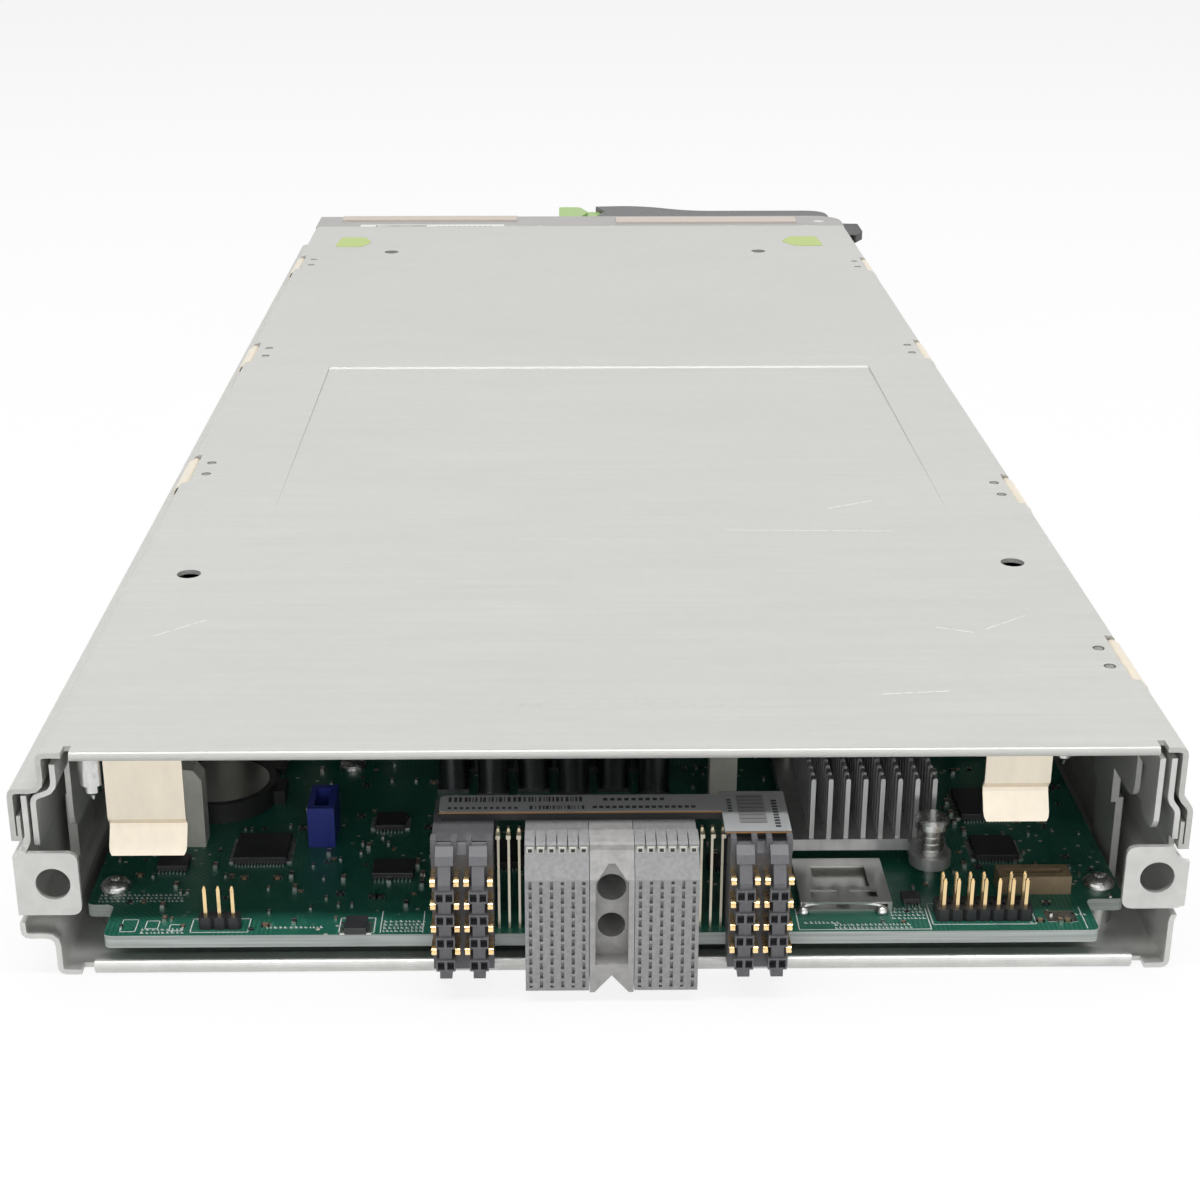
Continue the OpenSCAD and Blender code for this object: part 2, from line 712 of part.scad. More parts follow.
module chipset_heat_sink() {
    color("silver") from_rear() difference() {
        union() {
            block([chipset_left, chipset_rear, chipset_base_z],
                  [chipset_right, chipset_front, chipset_base_z + 2.4]);
            for (p = chipset_screw_places) translate([p[0], p[1], chipset_base_z]) cylinder(r = 4, h = 2.4);
            block([60, 21.8, chipset_base_z], [67.2, chipset_rear + fuse, chipset_base_z + 2.4]);
            block([37.6, chipset_front - fuse, chipset_base_z], [44.8, 68.6, chipset_base_z + 2.4]);
            for (i = [0:fin_columns - 1]) for (j = [0:fin_rows - 1])
                translate([41.3 + 3.36 * i, 27.3 + 2.94 * j, chipset_base_z + 2.3]) {
                    block([-0.45, 0, 0], [0.45, 1.7, 12.4]);
                    rod_y(0, 12.4, 0.45, 0, 1.7);
                }
        }
        for (p = chipset_screw_places) translate([p[0], p[1], 0]) cylinder(r = 1.6, h = 40);
    }
}

module processor_heat_sinks() {
    color("silver") from_rear() for (y = processor_y) {
        left = connector_x - sink_width / 2;
        fins = 29;
        difference() {
            block([left, y - sink_length / 2, processor_top],
                  [left + sink_width, y + sink_length / 2, processor_top + 4]);
            for (sx = [-1, 1]) for (sy = [-1, 1])
                translate([connector_x + sx * 28, y + sy * 47, 0]) cylinder(r = 1.9, h = 40);
        }
        for (i = [0:fins - 1]) {
            x = left + 0.6 + (sink_width - 1.8) / (fins - 1) * i;
            // fins near the screws are cut back at both ends
            short = abs(abs(x + 0.3 - connector_x) - 28) < 5 ? 13 : 0;
            block([x, y - sink_length / 2 + short, processor_top + 3.9],
                  [x + 0.6, y + sink_length / 2 - short, under_cover - 1.4]);
        }
    }
}

module processor_sockets() {
    color("#303032") from_rear() for (y = processor_y) difference() {
        block([connector_x - 27, y - 38, board_top], [connector_x + 27, y + 38, processor_top - 0.6]);
        block([connector_x - 22.6, y - 26.1, board_top + 1.6],
              [connector_x + 22.6, y + 26.1, board_top + 9]);
    }
}

function sink_screws() = [for (y = processor_y) for (sx = [-1, 1]) for (sy = [-1, 1])
    [connector_x + sx * 28, y + sy * 47]];

module heat_sink_screws() {
    color("gainsboro") from_rear() {
        for (p = chipset_screw_places) translate([p[0], p[1], 0]) {
            translate([0, 0, board_top]) cylinder(r = 1.5, h = 11);
            translate([0, 0, board_top + 10.8]) cylinder(r = 3.4, h = 1.2);
            translate([0, 0, board_top + 12]) cylinder(r1 = 3.4, r2 = 2.8, h = 0.7);
        }
        for (p = sink_screws()) translate([p[0], p[1], 0]) {
            translate([0, 0, board_top]) cylinder(r = 1.8, h = 17);
            translate([0, 0, board_top + 16.5]) cylinder(r = 3.4, h = 2.4);
        }
    }
}

// A compression spring as separate closed rings joined by a thin inner sleeve
module ring_spring(z0, z1, r, turns) {
    pitch = (z1 - z0) / turns;
    difference() {
        union() {
            translate([0, 0, z0]) cylinder(r = r - 0.3, h = z1 - z0);
            for (k = [0:turns - 1]) translate([0, 0, z0 + pitch * (k + 0.5) - 0.25])
                cylinder(r = r, h = 0.5);
        }
        translate([0, 0, z0 - 1]) cylinder(r = r - 0.6, h = z1 - z0 + 2);
    }
}

module heat_sink_springs() {
    color("silver") from_rear() {
        for (p = chipset_screw_places) translate([p[0], p[1], 0])
            ring_spring(chipset_base_z + 2.4, board_top + 10.8, 2.5, 4);
        for (p = sink_screws()) translate([p[0], p[1], 0])
            ring_spring(processor_top + 4, board_top + 16.5, 2.9, 5);
    }
}

// ---------- memory ----------

bank_starts = [rear_bank_y, front_bank_y];

// The latch stands at the rear end of the rear banks and the front end of the front banks
module memory_socket(x, y0, latch_at_rear) {
    y1 = y0 + socket_length;
    latch_y = latch_at_rear ? y0 : y1 - latch_depth;
    post_y = latch_at_rear ? y1 - 4 : y0;
    difference() {
        union() {
            block([x - socket_width / 2, y0, board_top], [x + socket_width / 2, y1, board_top + 8]);
            block([x - socket_width / 2, post_y, board_top],
                  [x + socket_width / 2, post_y + 4, board_top + 19]);
        }
        block([x - 0.75, y0 + 3, board_top + 1.7], [x + 0.75, y1 - 3, board_top + 30]);
        block([x - 2.6, latch_y - 1, board_top + 1], [x + 2.6, latch_y + latch_depth + 1, board_top + 30]);
        translate([x - 10, latch_at_rear ? y0 + 2.2 : y1 - 2.2, latch_pivot_z])
            rotate([0, 90, 0]) cylinder(r = 0.85, h = 20);
    }
}

module memory_sockets() {
    color("#1c1c20") from_rear() for (x = concat(bank_columns, right_columns)) {
        memory_socket(x, rear_bank_y, true);
        memory_socket(x, front_bank_y, false);
    }
}

module_length = socket_length - 10.6;

module memory_modules() {
    color("darkgreen") from_rear() for (x = concat(bank_columns, right_columns)) {
        for (y0 = bank_starts)
            block([x - 0.63, y0 + 5.3, board_top + 1.7],
                  [x + 0.63, y0 + 5.3 + module_length, board_top + 31.2]);
    }
}

// A latch arm: side view as distance outwards from the bank's end and height
function latch_side() = [[-1.9, -2.2], [1.7, -2.2], [2.1, 2], [2.1, 22], [4.4, 26.2], [4.4, 27.4],
    [0, 27.4], [-2.8, 24], [-2.8, 7], [-1.9, 5]];

module latch_bank(columns, end_y, outwards) {
    from_rear() for (x = columns) translate([x, end_y, latch_pivot_z]) {
        mirror([0, outwards > 0 ? 0 : 1, 0]) along_x(-2.3, 2.3) polygon(latch_side());
        translate([-3.2, 0, 0]) rotate([0, 90, 0]) cylinder(r = 0.8, h = 6.4);
    }
}

rear_latch_y = rear_bank_y + 2.2;
front_latch_y = front_bank_y + socket_length - 2.2;

module rear_left_latches() {
    color("ivory") latch_bank(bank_columns, rear_latch_y, -1);
}

module rear_right_latches() {
    color("ivory") latch_bank(right_columns, rear_latch_y, -1);
}

module front_left_latches() {
    color("ivory") latch_bank(bank_columns, front_latch_y, 1);
}

module front_right_latches() {
    color("ivory") latch_bank(right_columns, front_latch_y, 1);
}

// ---------- drives ----------

module drive_cage() {
    color("lightsteelblue") from_rear() {
        left = drive_centres[0] - bay_width / 2;
        right = drive_centres[1] + bay_width / 2;
        rear = backplane_y + 3;
        front = front_y - 1.4;
        difference() {
            block([left - 1, rear, sheet], [right + 1, front, bay_top + 1]);
            for (x = drive_centres) block([x - bay_width / 2, rear - 1, bay_floor],
                                          [x + bay_width / 2, front + 1, bay_top]);
            // windows in the roof lighten the cage
            for (x = drive_centres) for (i = [0:2]) for (s = [-1, 1])
                translate([x + s * 15, rear + 24 + 28 * i, bay_top + 1])
                    cube([22, 20, 4], center = true);
        }
    }
}

module drive_backplane() {
    color("seagreen") from_rear() {
        left = drive_centres[0] - bay_width / 2;
        right = drive_centres[1] + bay_width / 2;
        block([left, backplane_y, sheet], [right, backplane_y + 2, bay_top + 1]);
        for (x = drive_centres) block([x - 21, backplane_y + 2 - fuse, 6], [x + 21, backplane_y + 6.4, 12]);
    }
}

carrier_face = front_y - 7;
handle_pivot = 33;
handle_z0 = 7;
handle_z1 = 20;
handle_height = handle_z1 - handle_z0;

module drive_carrier(x) {
    w = carrier_width / 2;
    color("#3a3a3e") from_rear() difference() {
        union() {
            block([x - w, drive_y0, bay_floor + 0.3], [x + w, carrier_face, bay_floor + 1.3]);
            for (s = [-1, 1]) block([x + s * w - (s > 0 ? 1.6 : 0), drive_y0, bay_floor + 0.3],
                                    [x + s * w + (s > 0 ? 0 : 1.6), carrier_face, 20]);
            block([x - w, carrier_face - fuse, bay_floor + 0.3], [x + w, front_y + 1, bay_top - 0.4]);
        }
        // seat of the handle
        block([x - 31, front_y - 2.6, handle_z0 - 0.3],
              [x + handle_pivot + 1.5, front_y + 2, handle_z1 + 0.3]);
        translate([x + handle_pivot, front_y - 0.6, handle_z0]) {
            translate([0, 0, -0.3]) cylinder(r = 2, h = handle_height + 0.6);
            translate([0, 0, -2]) cylinder(r = 0.85, h = handle_height + 4);
        }
        // air slots above and below the handle
        for (i = [0:13]) block([x - 33 + 4.8 * i, carrier_face - 1, handle_z1 + 1.4],
                               [x - 30 + 4.8 * i, front_y + 2, bay_top - 1.4]);
    }
}

module left_drive_carrier() {
    drive_carrier(drive_centres[0]);
}

module right_drive_carrier() {
    drive_carrier(drive_centres[1]);
}

module drive(x) {
    color("lightgray") from_rear() difference() {
        block([x - 34.9, drive_y0 + 0.4, bay_floor + 1.3], [x + 34.9, drive_y0 + 99.6, bay_floor + 16.3]);
        // shallow dish of the lid
        translate([x, drive_y0 + 58, bay_floor + 15.9]) cylinder(r = 30, h = 2);
    }
}

module left_drive() {
    drive(drive_centres[0]);
}

module right_drive() {
    drive(drive_centres[1]);
}

module drive_handle(x) {
    color("#4a4a50") from_rear() translate([x + handle_pivot, front_y - 0.6, 0]) difference() {
        union() {
            block([-62, -1.3, handle_z0], [0, 1.4, handle_z1]);
            translate([0, 0, handle_z0]) cylinder(r = 1.6, h = handle_height);
            translate([0, 0, handle_z0 - 1.6]) cylinder(r = 0.8, h = handle_height + 3.2);
        }
        // finger dish at the free end and a row of air slots
        block([-60, -0.2, handle_z0 + 2], [-46, 3, handle_z1 - 2]);
        for (i = [0:7]) block([-42 + 4.8 * i, -3, handle_z0 + 2], [-39 + 4.8 * i, 3, handle_z1 - 2]);
    }
}

module left_drive_handle() {
    drive_handle(drive_centres[0]);
}

module right_drive_handle() {
    drive_handle(drive_centres[1]);
}

// ---------- bezel ----------

bezel_top = body_height - 0.5;
bezel_rear = cover_length + 0.8;
bezel_wall = 1.2;
bezel_left = step_x;
bezel_right = half - 2;
corner = 10;
button_place = [67, 20];
pipe_places = [76, 81, 86];
usb_places = [63.2, 81.2];
usb_width = 13.2;
usb_height = 6.8;

function bezel_outline(inset) = concat(
    [[bezel_right - inset, bezel_rear]],
    [for (a = [0:15:90]) [bezel_right - corner + (corner - inset) * cos(a),
                          front_y - corner + (corner - inset) * sin(a)]],
    [[bezel_left + inset, front_y - inset], [bezel_left + inset, bezel_rear]]);

module front_bezel() {
    color("silver") from_rear() difference() {
        union() {
            translate([0, 0, sheet]) linear_extrude(bezel_top - sheet) difference() {
                polygon(bezel_outline(0));
                polygon(bezel_outline(bezel_wall));
                translate([bezel_left + bezel_wall, bezel_rear - 1])
                    square([bezel_right - bezel_left - 2 * bezel_wall, 9]);
            }
            translate([0, 0, bezel_top - sheet]) linear_extrude(sheet) polygon(bezel_outline(0));
            // shelf under the lever
            block([86, front_y - 20, lever_z - 2], [bezel_right - 0.5, front_y - 9, lever_z - 0.6]);
            block([86, front_y - 9.1, lever_z - 2], [bezel_right - 9, front_y - 0.5, lever_z - 0.6]);
        }
        for (x = drive_centres) block([x - bay_width / 2, front_y - 3, sheet - 0.1],
                                      [x + bay_width / 2, front_y + 1, bay_top]);
        // air slots
        for (i = [0:35]) translate([-97 + 5 * i, front_y, 0])
            block([0, -3, lever_z - 0.4], [3, 1, bezel_top - 2.5]);
        // room for the lever and its hook
        block([86, cover_length - 3, lever_z - 0.6], [half + 7, front_y + 3, bezel_top - sheet]);
        translate([pivot[0], pivot[1], 20]) cylinder(r = pin_radius + 0.02, h = 30);
        rod_y(button_place[0], button_place[1], 4.7, front_y - 4, front_y + 1);
        for (x = pipe_places) rod_y(x, button_place[1], 1.25, front_y - 4, front_y + 1);
        for (x = usb_places) block([x - 0.2, front_y - 4, board_top - 0.2],
                                   [x + usb_width + 0.2, front_y + 1, board_top + usb_height + 0.2]);
    }
}

module bezel_gaskets() {
    color("burlywood") from_rear() {
        block([-92, front_y - 9, bezel_top], [-23, front_y - 1, bezel_top + 0.5]);
        block([16, front_y - 14, bezel_top], [87, front_y - 4, bezel_top + 0.5]);
    }
}

// Two sockets for plugs and the housing of the power switch
module front_ports() {
    color("gainsboro") from_rear() {
        for (x = usb_places) difference() {
            block([x, front_y - 14.4, board_top], [x + usb_width, front_y - 0.2, board_top + usb_height]);
            block([x + 0.5, front_y - 13.4, board_top + 1],
                  [x + usb_width - 0.5, front_y + 1, board_top + usb_height - 0.6]);
        }
        difference() {
            block([button_place[0] - 4, front_y - 23, board_top],
              [button_place[0] + 4, front_y - 15, button_place[1] + 4]);
            rod_y(button_place[0], button_place[1], 1.6, front_y - 18, front_y - 14);
        }
    }
}

module light_pipes() {
    color("honeydew") from_rear() {
        for (x = pipe_places) rod_y(x, button_place[1], 1.2, front_y - 9, front_y + 0.4);
        block([pipe_places[0] - 2, front_y - 11, board_top + usb_height],
              [pipe_places[2] + 2, front_y - 9 + fuse, button_place[1] + 2]);
    }
}

module power_button() {
    color("dimgray") from_rear() {
        rod_y(button_place[0], button_place[1], 4.5, front_y - 2, front_y + 1);
        rod_y(button_place[0], button_place[1], 5.4, front_y - 2.9, front_y - 1.3);
        rod_y(button_place[0], button_place[1], 1.5, front_y - 16.4, front_y - 2.8);
    }
}

// ---------- ejector lever ----------

handle_left = 8.6;
handle_front = front_y + handle_reach;
arm_front = front_y + arm_reach;
tongue_z0 = lever_z + 3;
tongue_z1 = lever_top - 1.6;

// Seen from above: the arm leaves the pivot, rounds the bezel's corner, runs along the front
// and widens in a soft step into the handle
function lever_outline() = concat(
    [[pivot[0] + 5.4, pivot[1] + 1]],
    round_corner([pivot[0] + 5.4, pivot[1] + 1], [pivot[0] + 5.2, arm_front], [60, arm_front], 9, 5),
    round_corner([80, arm_front], [46, arm_front], [28, handle_front], 9, 5),
    round_corner([46, arm_front], [28, handle_front], [handle_left, handle_front], 9, 5),
    [[handle_left, handle_front - 1], [handle_left + 3.4, (arm_inner + handle_front) / 2],
     [handle_left, arm_inner + 1], [handle_left + 1, arm_inner]],
    round_corner([60, arm_inner], [pivot[0] + 1.5, arm_inner], [pivot[0] - 4, pivot[1]], 4, 4),
    [[pivot[0] - 5.2, pivot[1] + 2]]);

module ejector_lever() {
    color("#4b4b4e") from_rear() difference() {
        union() {
            translate([0, 0, lever_z]) linear_extrude(hook_z - lever_z) polygon(lever_outline());
            translate([0, 0, hook_z - fuse]) linear_extrude(lever_top - hook_z + fuse)
                intersection() {
                    polygon(lever_outline());
                    translate([-20, arm_inner - 0.1]) square([140, 40]);
                }
            translate([pivot[0], pivot[1], lever_z]) cylinder(r = 5.4, h = hook_z - lever_z);
        }
        translate([pivot[0], pivot[1], 0]) cylinder(r = pin_radius + 0.05, h = 60);
        // pocket of the release tip's tongue
        block([0, arm_inner + 4, tongue_z0 - 0.3], [24, handle_front - 4, tongue_z1 + 0.3]);
    }
}

module lever_hook() {
    color("#1f1f21") from_rear() translate([0, 0, hook_z]) linear_extrude(3) difference() {
        polygon(round_outline([[pivot[0] - 5, pivot[1] + 3], [pivot[0] - 4, pivot[1] - 5],
            [pivot[0] + 3, pivot[1] - 6], [pivot[0] + 9, pivot[1] - 19], [half + 1, pivot[1] - 20.5],
            [half + 4.8, pivot[1] - 13], [half + 4.8, pivot[1] + 2.4], [half, pivot[1] + 2.6],
            [pivot[0] + 5, pivot[1] + 5]], 1));
        translate(pivot) circle(r = pin_radius + 0.05);
    }
}

module lever_pivot_pin() {
    color("gainsboro") from_rear() translate([pivot[0], pivot[1], 0]) {
        translate([0, 0, lever_z - 2.6]) cylinder(r = pin_radius, h = bezel_top - lever_z + 2.6);
        translate([0, 0, lever_z - 3.4]) cylinder(r = 3.4, h = 1.4);
    }
}

module release_tip() {
    color("limegreen") from_rear() {
        middle = (arm_inner + handle_front) / 2;
        translate([0, 0, lever_z + 0.3]) linear_extrude(lever_height - 0.6)
            polygon(round_outline([[-6.4, arm_inner + 0.4], [2, arm_inner + 0.4], [5.4, middle],
                [2, handle_front - 0.6], [-6.4, handle_front - 0.6]], 1.5));
        block([2, arm_inner + 4.3, tongue_z0], [20, handle_front - 4.3, tongue_z1]);
    }
}

base_tray();
inner_rails();
top_cover();
spring_fingers();
finger_rivets();
contact_clips();
locating_pins();
touch_labels();
system_board();
board_standoffs();
board_screws();
left_signal_connector();
right_signal_connector();
guide_block();
left_power_connector();
right_power_connector();
power_contacts();
connector_organizer();
connector_label();
ground_pins();
header_bodies();
header_pins();
card_cage();
blue_connector();
riser_connector();
nylon_posts();
capacitors();
inductors();
coin_cell_holder();
coin_cell();
chip_packages();
chipset_heat_sink();
heat_sink_screws();
heat_sink_springs();
processor_sockets();
processor_heat_sinks();
memory_sockets();
memory_modules();
rear_left_latches();
rear_right_latches();
front_left_latches();
front_right_latches();
drive_cage();
drive_backplane();
left_drive_carrier();
right_drive_carrier();
left_drive();
right_drive();
left_drive_handle();
right_drive_handle();
front_bezel();
bezel_gaskets();
front_ports();
light_pipes();
power_button();
ejector_lever();
lever_hook();
lever_pivot_pin();
release_tip();
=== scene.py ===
import json
import math
import bpy
import numpy as np
from mathutils import Matrix, Vector


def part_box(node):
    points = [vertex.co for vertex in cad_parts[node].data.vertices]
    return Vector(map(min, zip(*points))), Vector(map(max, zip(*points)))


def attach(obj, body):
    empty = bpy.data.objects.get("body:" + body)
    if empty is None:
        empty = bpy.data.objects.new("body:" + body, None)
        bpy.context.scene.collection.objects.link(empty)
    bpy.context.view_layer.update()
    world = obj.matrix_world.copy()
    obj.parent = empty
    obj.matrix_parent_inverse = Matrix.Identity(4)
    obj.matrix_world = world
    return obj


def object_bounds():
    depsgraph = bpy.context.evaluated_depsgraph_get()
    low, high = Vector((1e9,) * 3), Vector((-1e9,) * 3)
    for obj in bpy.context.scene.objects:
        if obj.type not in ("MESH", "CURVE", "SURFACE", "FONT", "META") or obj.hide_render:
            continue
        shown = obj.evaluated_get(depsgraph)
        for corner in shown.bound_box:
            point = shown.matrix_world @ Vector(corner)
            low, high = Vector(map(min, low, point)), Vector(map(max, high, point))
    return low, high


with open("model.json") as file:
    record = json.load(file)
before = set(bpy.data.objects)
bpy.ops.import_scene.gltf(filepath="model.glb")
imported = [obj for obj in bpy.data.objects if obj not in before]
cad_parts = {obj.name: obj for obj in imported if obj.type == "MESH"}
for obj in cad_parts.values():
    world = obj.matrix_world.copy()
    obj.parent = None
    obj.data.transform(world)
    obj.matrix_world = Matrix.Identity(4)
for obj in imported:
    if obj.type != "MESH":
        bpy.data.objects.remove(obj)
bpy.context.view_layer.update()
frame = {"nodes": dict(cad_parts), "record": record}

mm = 0.001
scene = bpy.context.scene
nodes = frame["nodes"]
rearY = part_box("base_tray")[0][1]
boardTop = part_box("system_board")[1][2] / mm
print("frame loaded")

# camera, floor and light

view = {
    "place": (-8.23, -330.28, 204.25),  # mm from the rear sheet edge
    "pitch": 21.526,
    "yaw": 0.695,
    "lens": 62.02,
    "sensor": 36,
    "shiftX": 0.0169,
    "shiftY": -0.0007,
}


def toFrame(points):
    # millimetres, with Y measured from the rear sheet edge, to metres in the shared frame
    return np.asarray(points, dtype=float) * mm + np.array([0.0, rearY, 0.0])


def makeCamera():
    pitch = math.radians(view["pitch"])
    yaw = math.radians(view["yaw"])
    ahead = Vector((math.sin(yaw) * math.cos(pitch), math.cos(yaw) * math.cos(pitch), -math.sin(pitch)))
    right = Vector((math.cos(yaw), -math.sin(yaw), 0))
    up = right.cross(ahead)
    data = bpy.data.cameras.new("camera")
    data.lens = view["lens"]
    data.sensor_width = view["sensor"]
    data.shift_x = view["shiftX"]
    data.shift_y = view["shiftY"]
    data.clip_start = 0.01
    camera = bpy.data.objects.new("camera", data)
    turn = Matrix((right, up, -ahead)).transposed().to_4x4()
    camera.matrix_world = Matrix.Translation(Vector(toFrame(view["place"]))) @ turn
    scene.collection.objects.link(camera)
    scene.camera = camera


light = {
    # a lamp narrow along the case, so that the cover's edge throws a sharp shadow on the board
    "strip": {"at": (0.0, -0.447, 1.5), "towards": (0, -0.247, 0), "size": (2.0, 0.16), "power": 16},
    "overhead": {"at": (0.0, 0.2, 1.5), "towards": (0, 0.05, 0), "size": (1.9, 0.7), "power": 8},
    "behind": {"at": (0.0, -1.6, 0.5), "towards": (0, -0.247, 0.02), "size": (1.6, 0.6), "power": 5},
    "left": {"at": (-1.5, -0.2, 0.7), "towards": (0, -0.05, 0.02), "size": (0.9, 0.9), "power": 2.5},
    "right": {"at": (1.5, 0.1, 0.8), "towards": (0, 0, 0.02), "size": (0.9, 0.9), "power": 2.5},
    "world": 0.24,
    "floorColour": (0.93, 0.93, 0.93, 1),
    "floorGlow": 0.86,  # share of plain white that the camera and mirrors see in the floor
    "floorHalf": 6.0,
    "floorGap": 0.0002,
}


def backdropRays(tree):
    # 1 for rays from the camera, from mirrors and through clear parts, which all see the white backdrop
    path = tree.nodes.new("ShaderNodeLightPath")
    either = tree.nodes.new("ShaderNodeMath")
    either.operation = "MAXIMUM"
    tree.links.new(path.outputs["Is Camera Ray"], either.inputs[0])
    tree.links.new(path.outputs["Is Glossy Ray"], either.inputs[1])
    every = tree.nodes.new("ShaderNodeMath")
    every.operation = "MAXIMUM"
    tree.links.new(either.outputs[0], every.inputs[0])
    tree.links.new(path.outputs["Is Transmission Ray"], every.inputs[1])
    return every.outputs[0]


def makeLights():
    for name in ("strip", "overhead", "behind", "left", "right"):
        values = light[name]
        data = bpy.data.lights.new(name + "Light", "AREA")
        data.shape = "RECTANGLE"
        data.size, data.size_y = values["size"]
        data.energy = values["power"]
        lamp = bpy.data.objects.new(name + "Light", data)
        aim = Vector(values["towards"]) - Vector(values["at"])
        lamp.location = values["at"]
        lamp.rotation_euler = aim.to_track_quat("-Z", "Y").to_euler()
        scene.collection.objects.link(lamp)
    world = bpy.data.worlds.new("studio")
    scene.world = world
    world.use_nodes = True
    tree = world.node_tree
    tree.nodes.clear()
    out = tree.nodes.new("ShaderNodeOutputWorld")
    soft = tree.nodes.new("ShaderNodeBackground")
    soft.inputs["Strength"].default_value = light["world"]
    white = tree.nodes.new("ShaderNodeBackground")
    white.inputs["Color"].default_value = (1, 1, 1, 1)
    mix = tree.nodes.new("ShaderNodeMixShader")
    tree.links.new(backdropRays(tree), mix.inputs["Fac"])
    tree.links.new(soft.outputs[0], mix.inputs[1])
    tree.links.new(white.outputs[0], mix.inputs[2])
    tree.links.new(mix.outputs[0], out.inputs["Surface"])


def makeFloor():
    half = light["floorHalf"]
    mesh = bpy.data.meshes.new("floor")
    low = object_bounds()[0][2] - light["floorGap"]
    mesh.from_pydata([(-half, -half, low), (half, -half, low), (half, half, low), (-half, half, low)],
                     [], [(0, 1, 2, 3)])
    floor = bpy.data.objects.new("floor", mesh)
    scene.collection.objects.link(floor)
    material = bpy.data.materials.new("floorPaper")
    material.use_nodes = True
    tree = material.node_tree
    tree.nodes.clear()
    out = tree.nodes.new("ShaderNodeOutputMaterial")
    matt = tree.nodes.new("ShaderNodeBsdfDiffuse")
    matt.inputs["Color"].default_value = light["floorColour"]
    glow = tree.nodes.new("ShaderNodeEmission")
    share = tree.nodes.new("ShaderNodeMath")
    share.operation = "MULTIPLY"
    share.inputs[1].default_value = light["floorGlow"]
    mix = tree.nodes.new("ShaderNodeMixShader")
    tree.links.new(backdropRays(tree), share.inputs[0])
    tree.links.new(share.outputs[0], mix.inputs["Fac"])
    tree.links.new(matt.outputs[0], mix.inputs[1])
    tree.links.new(glow.outputs[0], mix.inputs[2])
    tree.links.new(mix.outputs[0], out.inputs["Surface"])
    mesh.materials.append(material)


scene.view_settings.view_transform = "Standard"
makeCamera()
makeLights()
makeFloor()
print("stage built")

# building materials from nodes


class Net:
    # one material with its nodes; coordinates are the object's own, in metres
    def __init__(self, name):
        self.material = bpy.data.materials.new(name)
        self.material.use_nodes = True
        self.tree = self.material.node_tree
        self.shader = self.tree.nodes["Principled BSDF"]
        self.coordinates = self.tree.nodes.new("ShaderNodeTexCoord").outputs["Object"]

    # a socket is linked, a plain value is set
    def join(self, source, target):
        if isinstance(source, bpy.types.NodeSocket):
            self.tree.links.new(source, target)
        else:
            target.default_value = source

    # the object's coordinates, stretched and turned
    def scaled(self, scale, turn=(0, 0, 0)):
        node = self.tree.nodes.new("ShaderNodeMapping")
        node.inputs["Scale"].default_value = scale
        node.inputs["Rotation"].default_value = turn
        self.join(self.coordinates, node.inputs["Vector"])
        return node.outputs["Vector"]

    def noise(self, scale, detail=3, rough=0.55, turn=(0, 0, 0)):
        node = self.tree.nodes.new("ShaderNodeTexNoise")
        node.inputs["Scale"].default_value = 1
        node.inputs["Detail"].default_value = detail
        node.inputs["Roughness"].default_value = rough
        self.join(self.scaled(scale, turn), node.inputs["Vector"])
        return node.outputs["Fac"]

    def cells(self, scale, feature="F1", output="Distance"):
        node = self.tree.nodes.new("ShaderNodeTexVoronoi")
        node.feature = feature
        node.inputs["Scale"].default_value = 1
        self.join(self.scaled(scale), node.inputs["Vector"])
        return node.outputs[output]

    def math(self, operation, a, b=0.0, clamp=False):
        node = self.tree.nodes.new("ShaderNodeMath")
        node.operation = operation
        node.use_clamp = clamp
        self.join(a, node.inputs[0])
        self.join(b, node.inputs[1])
        return node.outputs[0]

    # carries low to high over to another range
    def fit(self, value, low, high, to=(0.0, 1.0)):
        node = self.tree.nodes.new("ShaderNodeMapRange")
        self.join(value, node.inputs["Value"])
        for name, number in (("From Min", low), ("From Max", high), ("To Min", to[0]), ("To Max", to[1])):
            node.inputs[name].default_value = number
        return node.outputs["Result"]

    def mix(self, share, a, b):
        node = self.tree.nodes.new("ShaderNodeMix")
        node.data_type = "RGBA"
        for target, source in zip((node.inputs[0], node.inputs[6], node.inputs[7]), (share, a, b)):
            if isinstance(source, tuple) and len(source) == 3:
                source = source + (1,)
            self.join(source, target)
        return node.outputs[2]

    def split(self, vector):
        node = self.tree.nodes.new("ShaderNodeSeparateXYZ")
        self.join(vector, node.inputs[0])
        return node.outputs

    # the surface's own direction, split into x, y and z
    def normal(self):
        return self.split(self.tree.nodes.new("ShaderNodeNewGeometry").outputs["Normal"])

    # relief of a given depth, in metres
    def bump(self, height, strength, depth):
        node = self.tree.nodes.new("ShaderNodeBump")
        node.inputs["Strength"].default_value = strength
        node.inputs["Distance"].default_value = depth
        self.join(height, node.inputs["Height"])
        self.join(node.outputs["Normal"], self.shader.inputs["Normal"])

    # sets the surface's sockets and hands the material over
    def finish(self, colour, rough, metal=0.0, **others):
        if isinstance(colour, tuple) and len(colour) == 3:
            colour = colour + (1,)
        self.join(colour, self.shader.inputs["Base Color"])
        self.join(rough, self.shader.inputs["Roughness"])
        self.join(metal, self.shader.inputs["Metallic"])
        for name, value in others.items():
            self.join(value, self.shader.inputs[name])
        return self.material


def shade(colour, factor):
    # the same hue, lighter or darker
    return tuple(min(1.0, channel * factor) for channel in colour)


